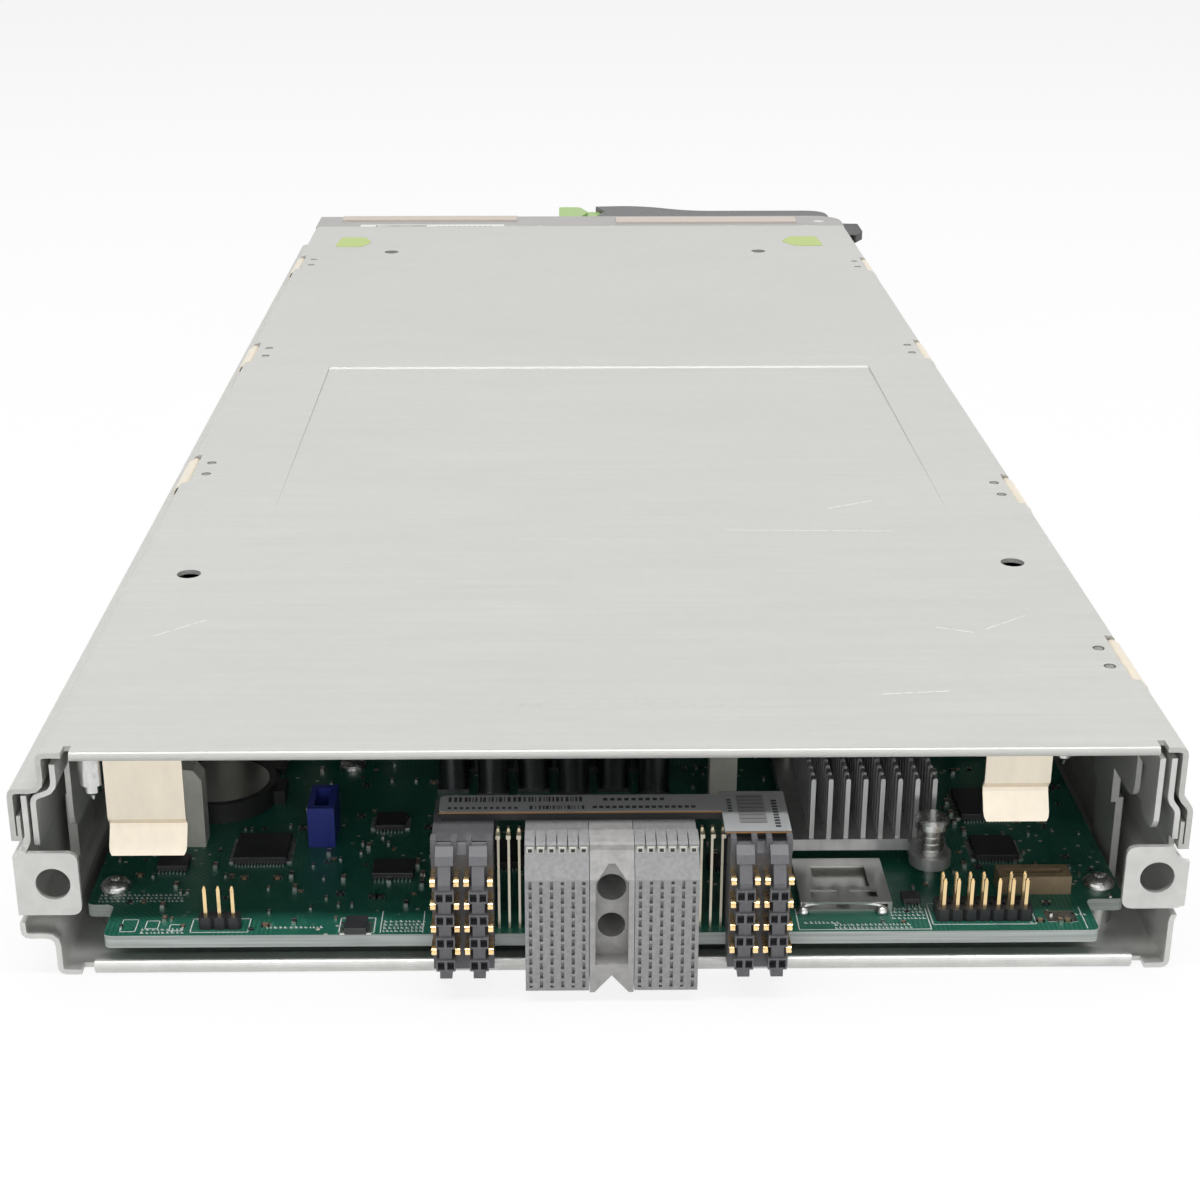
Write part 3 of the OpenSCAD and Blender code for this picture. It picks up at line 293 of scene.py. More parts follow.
def sheetMetal(name, colour, rough, metal, grain, contrast=0.06, spangle=0.0):
    # long fine grain, soft blotches and, on zinc, a faint pattern of crystals
    net = Net(name)
    fine = net.noise(grain, 4, 0.6)
    blotch = net.noise((14, 14, 14), 3)
    tone = net.mix(net.fit(fine, 0.3, 0.7), shade(colour, 1 - contrast), shade(colour, 1 + contrast))
    tone = net.mix(net.fit(blotch, 0.35, 0.7, (0.0, 0.3)), tone, shade(colour, 0.86))
    if spangle:
        crystal = net.split(net.cells((240, 240, 240), output="Color"))[0]
        tone = net.mix(net.fit(crystal, 0.0, 1.0, (0.0, spangle)), tone, shade(colour, 1.18))
    worn = net.fit(net.noise((60, 60, 60), 4), 0.3, 0.7, (rough - 0.07, rough + 0.07))
    net.bump(fine, 0.25, 0.00004)
    return net.finish(tone, worn, metal)


def mouldedPlastic(name, colour, rough=0.5, texture=900, contrast=0.1, relief=0.00003):
    # fine moulded texture with a little dust in it
    net = Net(name)
    fine = net.noise((texture,) * 3, 2)
    dust = net.fit(net.noise((45, 45, 45), 5, 0.65), 0.45, 0.8, (0.0, 0.35))
    tone = net.mix(net.fit(fine, 0.3, 0.7), shade(colour, 1 - contrast), shade(colour, 1 + contrast))
    tone = net.mix(dust, tone, tuple(channel * 0.7 + 0.08 for channel in colour))
    net.bump(fine, 0.3, relief)
    return net.finish(tone, net.fit(fine, 0.3, 0.7, (rough - 0.06, rough + 0.08)), 0.0)


def plating(name, colour, rough, contrast=0.12):
    # bright plated metal with thin streaks and small dull specks
    net = Net(name)
    streak = net.noise((900, 900, 160), 3)
    speck = net.fit(net.noise((500, 500, 500), 2), 0.6, 0.72)
    tone = net.mix(net.fit(streak, 0.3, 0.7), shade(colour, 1 - contrast), shade(colour, 1 + contrast))
    tone = net.mix(net.math("MULTIPLY", speck, 0.35), tone, shade(colour, 0.55))
    net.bump(streak, 0.2, 0.00002)
    return net.finish(tone, net.fit(streak, 0.3, 0.7, (rough - 0.06, rough + 0.08)), 1.0)


coverLook = {
    "colour": (0.555, 0.555, 0.53),
    "rough": 0.46,
    "metal": 0.35,
    "grain": (22, 700, 700),
    "rubbed": {"y": 22.5, "core": 0.6, "fade": 1.9, "coreReach": 24, "fadeReach": 30, "share": 0.16},
    "scratches": (  # middle x, middle y, half length, half width, slope, in mm
        (50, 118.5, 20, 0.22, -0.03),
        (62, 137, 6, 0.3, 0.5),
        (84, 62, 5, 0.3, 0.75),
        (73, 58, 4, 0.25, -0.4),
        (60, 27, 7, 0.25, 0.1),
        (-85, 61, 5, 0.3, 0.9),
    ),
}


def coverMaterial():
    net = Net("coverSheet")
    values = coverLook
    colour = values["colour"]
    fine = net.noise(values["grain"], 5, 0.65)
    dots = net.noise((420, 420, 420), 2)
    blotch = net.noise((9, 16, 9), 4, 0.6)
    tone = net.mix(net.fit(fine, 0.3, 0.7), shade(colour, 0.94), shade(colour, 1.05))
    tone = net.mix(net.fit(dots, 0.3, 0.75, (0.0, 0.25)), tone, shade(colour, 0.88))
    tone = net.mix(net.fit(blotch, 0.4, 0.75, (0.0, 0.22)), tone, shade(colour, 0.84))
    x, y, z = net.split(net.coordinates)
    upward = net.math("GREATER_THAN", net.normal()[2], 0.6)
    # rubbed print near the rear edge: a broken dark band
    rubbed = values["rubbed"]
    away = net.math("ABSOLUTE", net.math("SUBTRACT", y, rearY + rubbed["y"] * mm))
    band = net.fit(away, rubbed["fade"] * mm, rubbed["core"] * mm)
    aside = net.math("ABSOLUTE", net.math("ADD", x, 0.5 * mm))
    reach = net.fit(aside, rubbed["fadeReach"] * mm, rubbed["coreReach"] * mm)
    broken = net.fit(net.noise((330, 520, 100), 3, 0.7), 0.5, 0.62)
    smudge = net.math("MULTIPLY", net.math("MULTIPLY", band, reach), broken)
    smudge = net.math("MULTIPLY", net.math("MULTIPLY", smudge, upward), rubbed["share"])
    tone = net.mix(smudge, tone, shade(colour, 0.45))
    # scratches: thin strips, each broken up by noise
    rub = net.fit(net.noise((700, 700, 700), 2), 0.36, 0.5)
    marks = 0.0
    for middleX, middleY, length, width, slope in values["scratches"]:
        alongX = net.math("SUBTRACT", x, middleX * mm)
        drift = net.math("MULTIPLY", alongX, slope)
        alongY = net.math("SUBTRACT", y, rearY + middleY * mm)
        offset = net.math("ABSOLUTE", net.math("SUBTRACT", alongY, drift))
        line = net.fit(offset, width * mm, width * 0.4 * mm)
        ends = net.fit(net.math("ABSOLUTE", alongX), length * mm, length * 0.9 * mm)
        marks = net.math("MAXIMUM", marks, net.math("MULTIPLY", line, ends))
    marks = net.math("MULTIPLY", net.math("MULTIPLY", marks, rub), upward)
    tone = net.mix(net.math("MULTIPLY", marks, 0.7), tone, (0.86, 0.86, 0.84))
    rough = net.fit(fine, 0.3, 0.7, (values["rough"] - 0.05, values["rough"] + 0.06))
    net.bump(fine, 0.2, 0.00003)
    return net.finish(tone, rough, values["metal"])


boardLook = {
    "mask": (0.014, 0.12, 0.08),
    "trace": (0.03, 0.18, 0.12),
    "edge": (0.42, 0.46, 0.44),
    "pad": (0.55, 0.52, 0.46),
    "tracesPerMetre": 1150,
    "slantedPerMetre": 820,
}


def laminateMaterial():
    # solder mask with bundles of traces and dots of vias on the faces, bare laminate on the edges
    net = Net("boardLaminate")
    values = boardLook
    x, y, z = net.split(net.coordinates)
    region = net.split(net.cells((95, 95, 95), output="Color"))[0]
    along = net.math("FRACT", net.math("MULTIPLY", x, values["tracesPerMetre"]))
    across = net.math("FRACT", net.math("MULTIPLY", y, values["tracesPerMetre"]))
    slanted = net.math("MULTIPLY", net.math("ADD", x, y), values["slantedPerMetre"])
    diagonal = net.math("FRACT", slanted)
    lines = net.mix(net.math("GREATER_THAN", region, 0.45), along, across)
    lines = net.mix(net.math("GREATER_THAN", region, 0.8), lines, diagonal)
    traces = net.math("GREATER_THAN", lines, 0.62)
    quiet = net.math("GREATER_THAN", net.noise((60, 60, 60), 2), 0.5)
    traces = net.math("MULTIPLY", traces, quiet)
    vias = net.fit(net.cells((420, 420, 420)), 0.2, 0.14)
    tone = net.mix(traces, values["mask"], values["trace"])
    busy = net.fit(net.noise((50, 50, 50), 2), 0.5, 0.55)
    tone = net.mix(net.math("MULTIPLY", vias, busy), tone, values["pad"])
    flat = net.math("GREATER_THAN", net.math("ABSOLUTE", net.normal()[2]), 0.5)
    weave = net.noise((30, 30, 2600), 2)
    edge = net.mix(net.fit(weave, 0.4, 0.6), shade(values["edge"], 0.82), shade(values["edge"], 1.1))
    tone = net.mix(flat, edge, tone)
    net.bump(traces, 0.3, 0.00003)
    return net.finish(tone, net.fit(net.noise((300, 300, 300), 2), 0.3, 0.7, (0.3, 0.45)), 0.0)


def labelMaterial(name, colour):
    # paper with faint fibres
    net = Net(name)
    fibre = net.noise((900, 300, 900), 4, 0.7)
    tone = net.mix(net.fit(fibre, 0.35, 0.7), shade(colour, 0.95), shade(colour, 1.04))
    net.bump(fibre, 0.2, 0.00002)
    return net.finish(tone, net.fit(fibre, 0.3, 0.7, (0.55, 0.68)), 0.0)


def fabricMaterial(name, colour):
    # woven tape: two crossed waves of threads
    net = Net(name)
    x, y, z = net.split(net.coordinates)
    threads = 7000  # radians of the thread wave per metre
    warp = net.math("SINE", net.math("MULTIPLY", x, threads))
    weft = net.math("SINE", net.math("MULTIPLY", y, threads))
    weave = net.math("MULTIPLY", warp, weft)
    tone = net.mix(net.fit(weave, -0.5, 0.5), shade(colour, 0.85), shade(colour, 1.1))
    net.bump(weave, 0.4, 0.00005)
    return net.finish(tone, net.fit(weave, -1.0, 1.0, (0.7, 0.85)), 0.0)


def clearPlastic(name, colour):
    # light passes through it, a little hazed
    net = Net(name)
    haze = net.noise((220, 220, 220), 3)
    tone = net.mix(net.fit(haze, 0.3, 0.7), shade(colour, 0.94), colour)
    return net.finish(tone, net.fit(haze, 0.3, 0.7, (0.18, 0.32)), 0.0, **{"Transmission Weight": 0.7})


looks = {
    "cover_sheet": coverMaterial(),
    "galvanised_sheet": sheetMetal("zincSheet", (0.62, 0.62, 0.60), 0.42, 0.55, (240, 30, 240), 0.08, 0.25),
    "nickel_strip": sheetMetal("nickelStrip", (0.82, 0.74, 0.61), 0.36, 0.6, (380, 380, 90), 0.05),
    "rivet_steel": sheetMetal("rivetSteel", (0.30, 0.30, 0.29), 0.4, 0.9, (600, 600, 600), 0.1),
    "tinned_steel": sheetMetal("tinnedSteel", (0.55, 0.55, 0.53), 0.34, 0.9, (400, 60, 400), 0.06),
    "black_steel": sheetMetal("blackSteel", (0.035, 0.035, 0.035), 0.45, 0.4, (300, 300, 300), 0.15),
    "turned_steel": plating("turnedSteel", (0.66, 0.66, 0.65), 0.24),
    "spring_wire": plating("springWire", (0.55, 0.54, 0.52), 0.3),
    "gold_contacts": plating("goldFlash", (0.88, 0.66, 0.36), 0.24),
    "tinned_pins": plating("tinnedPins", (0.62, 0.58, 0.47), 0.34),
    "can_aluminium": plating("drawnCan", (0.20, 0.20, 0.21), 0.34),
    "fin_aluminium": sheetMetal("finAluminium", (0.52, 0.52, 0.52), 0.4, 0.8, (500, 500, 60), 0.1),
    "drive_casting": sheetMetal("driveCasting", (0.42, 0.43, 0.43), 0.45, 0.8, (300, 300, 300), 0.1),
    "bezel_paint": sheetMetal("bezelPaint", (0.40, 0.385, 0.375), 0.42, 0.4, (30, 420, 420), 0.05),
    "lever_casting": mouldedPlastic("leverPaint", (0.075, 0.075, 0.08), 0.42, 700),
    "green_laminate": laminateMaterial(),
    "chip_laminate": mouldedPlastic("chipLaminate", (0.03, 0.05, 0.035), 0.4, 500),
    "grey_connector_plastic": mouldedPlastic("signalPlastic", (0.31, 0.31, 0.315), 0.42, 1300, 0.12),
    "light_connector_plastic": mouldedPlastic("guidePlastic", (0.38, 0.375, 0.37), 0.42, 600, 0.14),
    "dark_connector_plastic": mouldedPlastic("powerPlastic", (0.12, 0.12, 0.13), 0.45, 900, 0.12),
    "black_plastic": mouldedPlastic("blackPlastic", (0.018, 0.018, 0.02), 0.45, 900),
    "blue_plastic": mouldedPlastic("bluePlastic", (0.02, 0.035, 0.26), 0.4, 900),
    "tan_plastic": mouldedPlastic("tanPlastic", (0.30, 0.22, 0.13), 0.45, 900),
    "natural_nylon": mouldedPlastic("naturalNylon", (0.62, 0.61, 0.55), 0.45, 500, 0.06),
    "ferrite": mouldedPlastic("ferriteBlock", (0.06, 0.06, 0.065), 0.5, 600),
    "carrier_plastic": mouldedPlastic("carrierPlastic", (0.035, 0.035, 0.04), 0.45, 700),
    "handle_plastic": mouldedPlastic("handlePlastic", (0.075, 0.075, 0.085), 0.4, 700),
    "button_plastic": mouldedPlastic("buttonPlastic", (0.11, 0.115, 0.12), 0.3, 500),
    "green_plastic": mouldedPlastic("tipPlastic", (0.33, 0.50, 0.16), 0.4, 600),
    "clear_plastic": clearPlastic("pipePlastic", (0.80, 0.85, 0.78)),
    "green_label": labelMaterial("greenLabel", (0.47, 0.58, 0.22)),
    "grey_label": labelMaterial("greyLabel", (0.36, 0.365, 0.37)),
    "gasket_fabric": fabricMaterial("gasketFabric", (0.64, 0.57, 0.51)),
}
for entry in frame["record"]["subparts"]:
    for place in nodes[entry["node"]].material_slots:
        place.material = looks[entry["material_slot"]]

whiteInk = labelMaterial("whiteInk", (0.80, 0.82, 0.80))
blackInk = labelMaterial("blackInk", (0.03, 0.03, 0.035))
chipPlastic = mouldedPlastic("chipPlastic", (0.025, 0.025, 0.028), 0.45, 1500)
ceramicPart = mouldedPlastic("ceramicPart", (0.24, 0.17, 0.11), 0.45, 900)
solderTin = plating("solderTin", (0.62, 0.62, 0.60), 0.3)
print("materials built")

# shapes computed as arrays, in mm from the rear sheet edge

boxSquare = ((0, 0), (1, 0), (1, 1), (0, 1))
boxCorners = np.array([[x, y, level] for level in (0, 1) for x, y in boxSquare])
boxFaces = np.array([[0, 3, 2, 1], [4, 5, 6, 7], [0, 1, 5, 4], [1, 2, 6, 5], [2, 3, 7, 6], [3, 0, 4, 7]])


def boxes(ends):
    # one box for each row of six numbers: its low corner, then its high corner
    ends = np.asarray(ends, dtype=float)
    low = ends[:, None, :3]
    points = low + boxCorners[None] * (ends[:, None, 3:] - low)
    faces = boxFaces[None] + 8 * np.arange(len(ends))[:, None, None]
    return points.reshape(-1, 3), faces.reshape(-1, 4).tolist()


def prism(outline, start, end, axis="y"):
    # an outline, counter-clockwise seen against the axis, carried from start to end along it
    outline = np.asarray(outline, dtype=float)
    count = len(outline)
    order = {"x": (2, 0, 1), "y": (0, 2, 1), "z": (0, 1, 2)}[axis]
    flat = []
    for level in (start, end):
        stacked = np.column_stack([outline, np.full(count, level)])
        flat.append(stacked[:, order])
    faces = [list(range(count))[::-1], list(range(count, 2 * count))]
    faces += [[i, (i + 1) % count, count + (i + 1) % count, count + i] for i in range(count)]
    if axis == "y":
        faces = [face[::-1] for face in faces]
    return np.vstack(flat), faces


def tube(path, radius, sides=10):
    # a circle carried along a path: each ring stands across the path's local direction, and its side
    # vector is turned on from the ring before, so that the tube doesn't twist
    path = np.asarray(path, dtype=float)
    ahead = np.gradient(path, axis=0)
    ahead /= np.linalg.norm(ahead, axis=1)[:, None]
    guide = np.array([0.0, 0.0, 1.0])
    if abs(ahead[0] @ guide) > 0.9:
        guide = np.array([1.0, 0.0, 0.0])
    turns = np.linspace(0, 2 * math.pi, sides, endpoint=False)
    rings = []
    for point, direction in zip(path, ahead):
        side = np.cross(direction, guide)
        side /= np.linalg.norm(side)
        guide = np.cross(side, direction)
        rings.append(point + radius * (np.cos(turns)[:, None] * side + np.sin(turns)[:, None] * guide))
    count = len(path)
    faces = []
    for ring in range(count - 1):
        for k in range(sides):
            a, b = ring * sides + k, ring * sides + (k + 1) % sides
            faces.append([a, a + sides, b + sides, b])
    faces.append(list(range(sides)))
    faces.append([(count - 1) * sides + k for k in range(sides)][::-1])
    return np.vstack(rings), faces


def dome(x, y, z, radius, height, rings=4, sides=16):
    # a flattened half sphere standing on z: ring k lies at the quarter turn's share k / rings, so its
    # radius follows the cosine and its height the sine of that angle
    points = []
    for k in range(rings):
        lift = math.pi / 2 * k / rings
        turns = np.linspace(0, 2 * math.pi, sides, endpoint=False)
        level = np.full(sides, z + height * math.sin(lift))
        points.append(np.column_stack([x + radius * math.cos(lift) * np.cos(turns),
                                       y + radius * math.cos(lift) * np.sin(turns), level]))
    points.append(np.array([[x, y, z + height]]))
    faces = []
    for ring in range(rings - 1):
        for k in range(sides):
            a, b = ring * sides + k, ring * sides + (k + 1) % sides
            faces.append([a, b, b + sides, a + sides])
    top = rings * sides
    faces += [[top - sides + k, top - sides + (k + 1) % sides, top] for k in range(sides)]
    faces.append(list(range(sides))[::-1])
    return np.vstack(points), faces


def makePiece(name, shapes, material, body, bevel=0.0, smooth=False):
    # several shapes joined into one object at the origin
    points, faces, start = [], [], 0
    for shapePoints, shapeFaces in shapes:
        points.append(shapePoints)
        faces += [[start + index for index in face] for face in shapeFaces]
        start += len(shapePoints)
    mesh = bpy.data.meshes.new(name)
    mesh.from_pydata(toFrame(np.vstack(points)).tolist(), [], faces)
    mesh.validate()
    if smooth:
        mesh.shade_smooth()
    piece = bpy.data.objects.new(name, mesh)
    scene.collection.objects.link(piece)
    mesh.materials.append(material)
    if bevel:
        edge = piece.modifiers.new("softEdges", "BEVEL")
        edge.width = bevel * mm
        edge.segments = 2
        edge.limit_method = "ANGLE"
    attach(piece, body)
    return piece


# backplane connectors

signal = {
    "columns": 6,
    "rows": 11,
    "field": (3.0, 24.0),  # heights between which the rows are shared out
    "firstRow": 3.4,
    "highestRow": 24.1,
    "bump": {"radius": 0.52, "aside": 0.1, "lift": 0.3, "depth": (0.02, 0.75)},
    "slant": ((-10.0, 24.4), (-6.6, 28.1)),  # y and z at the slope's ends
    # half width at the tip and above, heights of tip and shoulder over the slope's foot,
    # thickness, and the share of it that stands out of the slope
    "tongue": {"halves": (0.62, 0.86), "heights": (0.9, 1.9), "thick": 0.35, "proud": 0.9, "edge": 0.12},
    "frame": {"half": 0.66, "z": (28.35, 29.55), "y": (-6.95, -6.5), "edge": 0.1},
    "window": {"half": 0.36, "z": (28.62, 29.28), "y": (-6.98, -6.6)},
}


def halfDisc(x, z, radius, steps=6):
    # flat side up, round side down
    turns = np.linspace(math.pi, 2 * math.pi, steps + 1)
    return np.column_stack([x + radius * np.cos(turns), z + radius * np.sin(turns)])


def signalTongue(x):
    # a tapered outline laid on the slope: its y follows the straight line between the slope's ends
    values = signal["tongue"]
    (footY, footZ), (topY, topZ) = signal["slant"]
    tip, full = values["halves"]
    start, shoulder = (footZ + height for height in values["heights"])
    outline = [(x - tip, start), (x + tip, start), (x + full, shoulder), (x + full, topZ),
               (x - full, topZ), (x - full, shoulder)]
    points, faces = prism(outline, 0.0, 1.0)
    slope = footY + (topY - footY) * (points[:, 2] - footZ) / (topZ - footZ)
    points[:, 1] = slope + (points[:, 1] - values["proud"]) * values["thick"]
    return points, faces


def signalDetails(name, node):
    # columns of half-round bumps, tongues on the slope of every second column, framed windows on top
    low, high = (np.array(corner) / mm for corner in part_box(node))
    face = low[1] - rearY / mm
    left, width = low[0], (high[0] - low[0]) / signal["columns"]
    bump, frameLook, window = signal["bump"], signal["frame"], signal["window"]
    bumps, tongues, frames, holes = [], [], [], []
    fieldLow, fieldHigh = signal["field"]
    rowPitch = (fieldHigh - fieldLow) / signal["rows"]
    for column in range(signal["columns"]):
        x = left + width * (column + 0.5)
        shift = 0.5 if column % 2 else 0.0
        for row in range(signal["rows"]):
            z = signal["firstRow"] + rowPitch * (row + shift)
            if z > signal["highestRow"]:
                continue
            outline = halfDisc(x + bump["aside"], z + bump["lift"], bump["radius"])
            bumps.append(prism(outline, *(face + depth for depth in bump["depth"])))
        if column % 2:
            tongues.append(signalTongue(x))
        half, (z0, z1) = frameLook["half"], frameLook["z"]
        corners = [(x - half, z0), (x + half, z0), (x + half, z1), (x - half, z1)]
        frames.append(prism(corners, *frameLook["y"]))
        half, (y0, y1), (z0, z1) = window["half"], window["y"], window["z"]
        holes.append([x - half, y0, z0, x + half, y1, z1])
    grey, slot = looks["grey_connector_plastic"], "grey_connector_plastic"
    makePiece(name + "Bumps", bumps, grey, "chassis")
    makePiece(name + "Tongues", tongues, grey, "chassis", bevel=signal["tongue"]["edge"])
    makePiece(name + "Frames", frames, looks["natural_nylon"], "chassis", bevel=frameLook["edge"])
    makePiece(name + "Windows", [boxes(holes)], looks["black_plastic"], "chassis")


signalDetails("leftSignal", "left_signal_connector")
signalDetails("rightSignal", "right_signal_connector")

inkDepth = 0.02  # thickness of printed marks, in mm

labelPrint = {
    "lift": 0.005,
    "barSeed": 4,
    "upperBars": (1.6, 26.5, 9.0, 10.9),  # x0 and x1 from the label's left end, y0 and y1
    "lowerBars": (16.5, 26.5, 6.0, 7.4),
    "dashes": (  # corner from the label's left end, size, step to the next mark, count
        ((1.6, 6.2), (0.6, 0.8), (1.1, 0), 12),
        ((30, 9.3), (0.8, 1.0), (1.3, 0), 9),
        ((28, 6.3), (0.8, 0.9), (1.2, 0), 16),
    ),
    "plateWidth": 12,
    "plateMarks": (  # the same, from the plate's left edge
        ((3.2, 0.4), (4.6, 0.15), (0, 1.45), 8),
        ((9.3, -1.4), (1.0, 0.7), (0, 1.1), 10),
        ((1.2, 4.6), (0.8, 0.6), (0, 1.1), 5),
    ),
    "square": (3.0, 0.2, 8.0, 11.4),  # x0, y0, x1, y1 of the plate's dark field
    "squareDepth": (-0.004, 0.006),
    "kraft": {"strip": (4.96, 5.01), "plate": (-3.14, -3.1), "overlap": 0.4, "start": 0.3},
    "kraftDepth": (-0.3, -0.06),
}


def codeBars(low, high, y0, y1, z, seed):
    # dark bars and gaps of random width between two x places
    random = np.random.default_rng(seed)
    rows, x = [], low
    while x < high:
        dark = random.choice([0.18, 0.36, 0.54])
        gap = random.choice([0.2, 0.34, 0.5])
        rows.append([x, y0, z, min(x + dark, high), y1, z + inkDepth])
        x += dark + gap
    return rows


def repeatMark(left, z, corner, size, step, count):
    # equal flat marks: mark number n starts n steps away from the first one's corner
    first = np.array(corner) + np.array((left, 0))
    low = first + np.arange(count)[:, None] * np.array(step)
    high = low + np.array(size)
    return np.column_stack([low, np.full(count, z), high, np.full(count, z + inkDepth)]).tolist()


def printLabel():
    low, high = (np.array(corner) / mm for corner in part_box("connector_label"))
    z = high[2] + labelPrint["lift"]
    left = low[0]
    plateLeft = high[0] - labelPrint["plateWidth"]
    marks = []
    for index, name in enumerate(("upperBars", "lowerBars")):
        x0, x1, y0, y1 = labelPrint[name]
        marks += codeBars(left + x0, left + x1, y0, y1, z, labelPrint["barSeed"] + index)
    for start, group in ((left, "dashes"), (plateLeft, "plateMarks")):
        for row in labelPrint[group]:
            marks += repeatMark(start, z, *row)
    makePiece("labelBars", [boxes(marks)], blackInk, "chassis")
    x0, y0, x1, y1 = labelPrint["square"]
    under, over = labelPrint["squareDepth"]
    square = [[plateLeft + x0, y0, z + under, plateLeft + x1, y1, z + over]]
    darkPaper = labelMaterial("labelGrey", (0.24, 0.24, 0.24))
    makePiece("labelSquare", [boxes(square)], darkPaper, "chassis")
    kraft, (under, over) = labelPrint["kraft"], labelPrint["kraftDepth"]
    (y0, y1), (y2, y3) = kraft["strip"], kraft["plate"]
    edge = [[left, y0, z + under, plateLeft + kraft["overlap"], y1, z + over],
            [plateLeft + kraft["start"], y2, z + under, high[0], y3, z + over]]
    kraftPaper = labelMaterial("labelKraft", (0.45, 0.22, 0.07))
    makePiece("labelEdge", [boxes(edge)], kraftPaper, "chassis")


printLabel()
print("connectors dressed")

# board parts and print

layout = {
    "seed": 11,
    "smallParts": 520,
    "rearLimit": 2.0,
    "frontLimit": 72.0,
    "sides": (-95, 97),
    "grid": 1.27,
    "sizes": ((1.6, 0.8, 0.6), (1.0, 0.5, 0.4), (1.0, 0.5, 0.35)),  # long, wide, tall
    "ceramicShare": 0.55,
    "capSpan": (1.04, 0.55),  # a tinned end's outer and inner limit, as shares of the half length
    "capLift": 0.03,
    "cornerX": 90,  # the board's rear corners are cut away beyond this, up to cornerY
    "cornerY": 12,
    "keepOut": (  # x0, y0, x1, y1 kept free for larger parts
        (-76, 1, -65, 7), (61, 2, 81, 11), (36, 5, 56, 27), (36, 24, 69, 72), (71, 12, 91, 21),
        (-59, 33, -50, 46), (-74, 24, -59, 41), (-49, -1, -41, 6), (-33, -2, 36, 15), (-84, 33, -77, 41),
        (22, 49, 30, 56), (-34, 55, 16, 76), (-92, 43, -64, 69), (-97, 14, -88, 22), (91, 13, 99, 21),
        (-56, 66, -48, 74), (52, 68, 60, 76),
    ),
}


def scatterParts():
    # small two-ended parts at random places of a grid, with their tinned ends
    random = np.random.default_rng(layout["seed"])
    grid = layout["grid"]
    outer, inner = layout["capSpan"]
    ceramic, resistor, ends = [], [], []
    for index in range(layout["smallParts"]):
        x = random.uniform(*layout["sides"])
        y = random.uniform(layout["rearLimit"], layout["frontLimit"])
        x, y = round(x / grid) * grid, round(y / grid) * grid
        long, wide, tall = layout["sizes"][random.integers(len(layout["sizes"]))]
        turned = random.random() < 0.5
        chosen = random.random() < layout["ceramicShare"]
        if y < layout["cornerY"] and abs(x) > layout["cornerX"]:
            continue
        if any(x0 < x < x1 and y0 < y < y1 for x0, y0, x1, y1 in layout["keepOut"]):
            continue
        dx, dy = (wide, long) if turned else (long, wide)
        body = [x - dx / 2, y - dy / 2, boardTop, x + dx / 2, y + dy / 2, boardTop + tall]
        (ceramic if chosen else resistor).append(body)
        for side in (-1, 1):
            cap = list(body)
            if turned:
                cap[1], cap[4] = sorted((y + side * dy / 2 * outer, y + side * dy / 2 * inner))
            else:
                cap[0], cap[3] = sorted((x + side * dx / 2 * outer, x + side * dx / 2 * inner))
            cap[5] += layout["capLift"]
            ends.append(cap)
    makePiece("ceramicParts", [boxes(ceramic)], ceramicPart, "chassis")
    makePiece("resistorParts", [boxes(resistor)], chipPlastic, "chassis")
    makePiece("partEnds", [boxes(ends)], solderTin, "chassis")


chips = {
    "standOff": 0.15,
    "pinShare": 0.94,  # share of a side that its pins fill
    "pinReach": 0.9,
    "sidePin": (0.11, 0.3),  # half width and height of the pins on the y sides
    "endPin": (0.14, 0.35),  # and of those on the x sides
    "edge": 0.12,
    "places": (  # x, y, half width, half length, height, pins on each y side, pins on each x side
        (-66.4, 32.5, 5.2, 5.2, 1.5, 16, 16),
        (-45.4, 2.6, 2.0, 2.4, 1.5, 0, 7),
        (-83, 27, 3.0, 2.4, 1.3, 8, 0),
        (-40, 24, 4.0, 3.0, 1.4, 10, 0),
        (-42, 44, 3.0, 3.0, 1.2, 8, 8),
        (-20, 30, 5.0, 5.0, 1.4, 14, 14),
        (8, 34, 4.5, 4.5, 1.4, 12, 12),
        (24, 26, 3.0, 2.4, 1.3, 8, 0),
        (78, 31, 4.2, 4.2, 1.4, 12, 12),
        (58.5, 12, 1.7, 1.7, 1.1, 5, 0),
        (80, 50, 6.0, 6.0, 1.4, 18, 18),
        (-70, 70, 4.0, 3.0, 1.4, 10, 0),
    ),
}


def makeChips():
    # a chip's pins stand evenly along its sides, centred, and reach out from under its body
    bodies, leads = [], []
    share, reach = chips["pinShare"], chips["pinReach"]
    for x, y, halfX, halfY, tall, pinsX, pinsY in chips["places"]:
        under, over = boardTop + chips["standOff"], boardTop + tall
        bodies.append([x - halfX, y - halfY, under, x + halfX, y + halfY, over])
        for side in (-1, 1):
            half, height = chips["sidePin"]
            for k in range(pinsX):
                px = x + (k - (pinsX - 1) / 2) * 2 * halfX * share / pinsX
                y0, y1 = sorted((y + side * halfY, y + side * (halfY + reach)))
                leads.append([px - half, y0, boardTop, px + half, y1, boardTop + height])
            half, height = chips["endPin"]
            for k in range(pinsY):
                py = y + (k - (pinsY - 1) / 2) * 2 * halfY * share / pinsY
                x0, x1 = sorted((x + side * halfX, x + side * (halfX + reach)))
                leads.append([x0, py - half, boardTop, x1, py + half, boardTop + height])
    makePiece("chipBodies", [boxes(bodies)], chipPlastic, "chassis", bevel=chips["edge"])
    makePiece("chipLeads", [boxes(leads)], solderTin, "chassis")


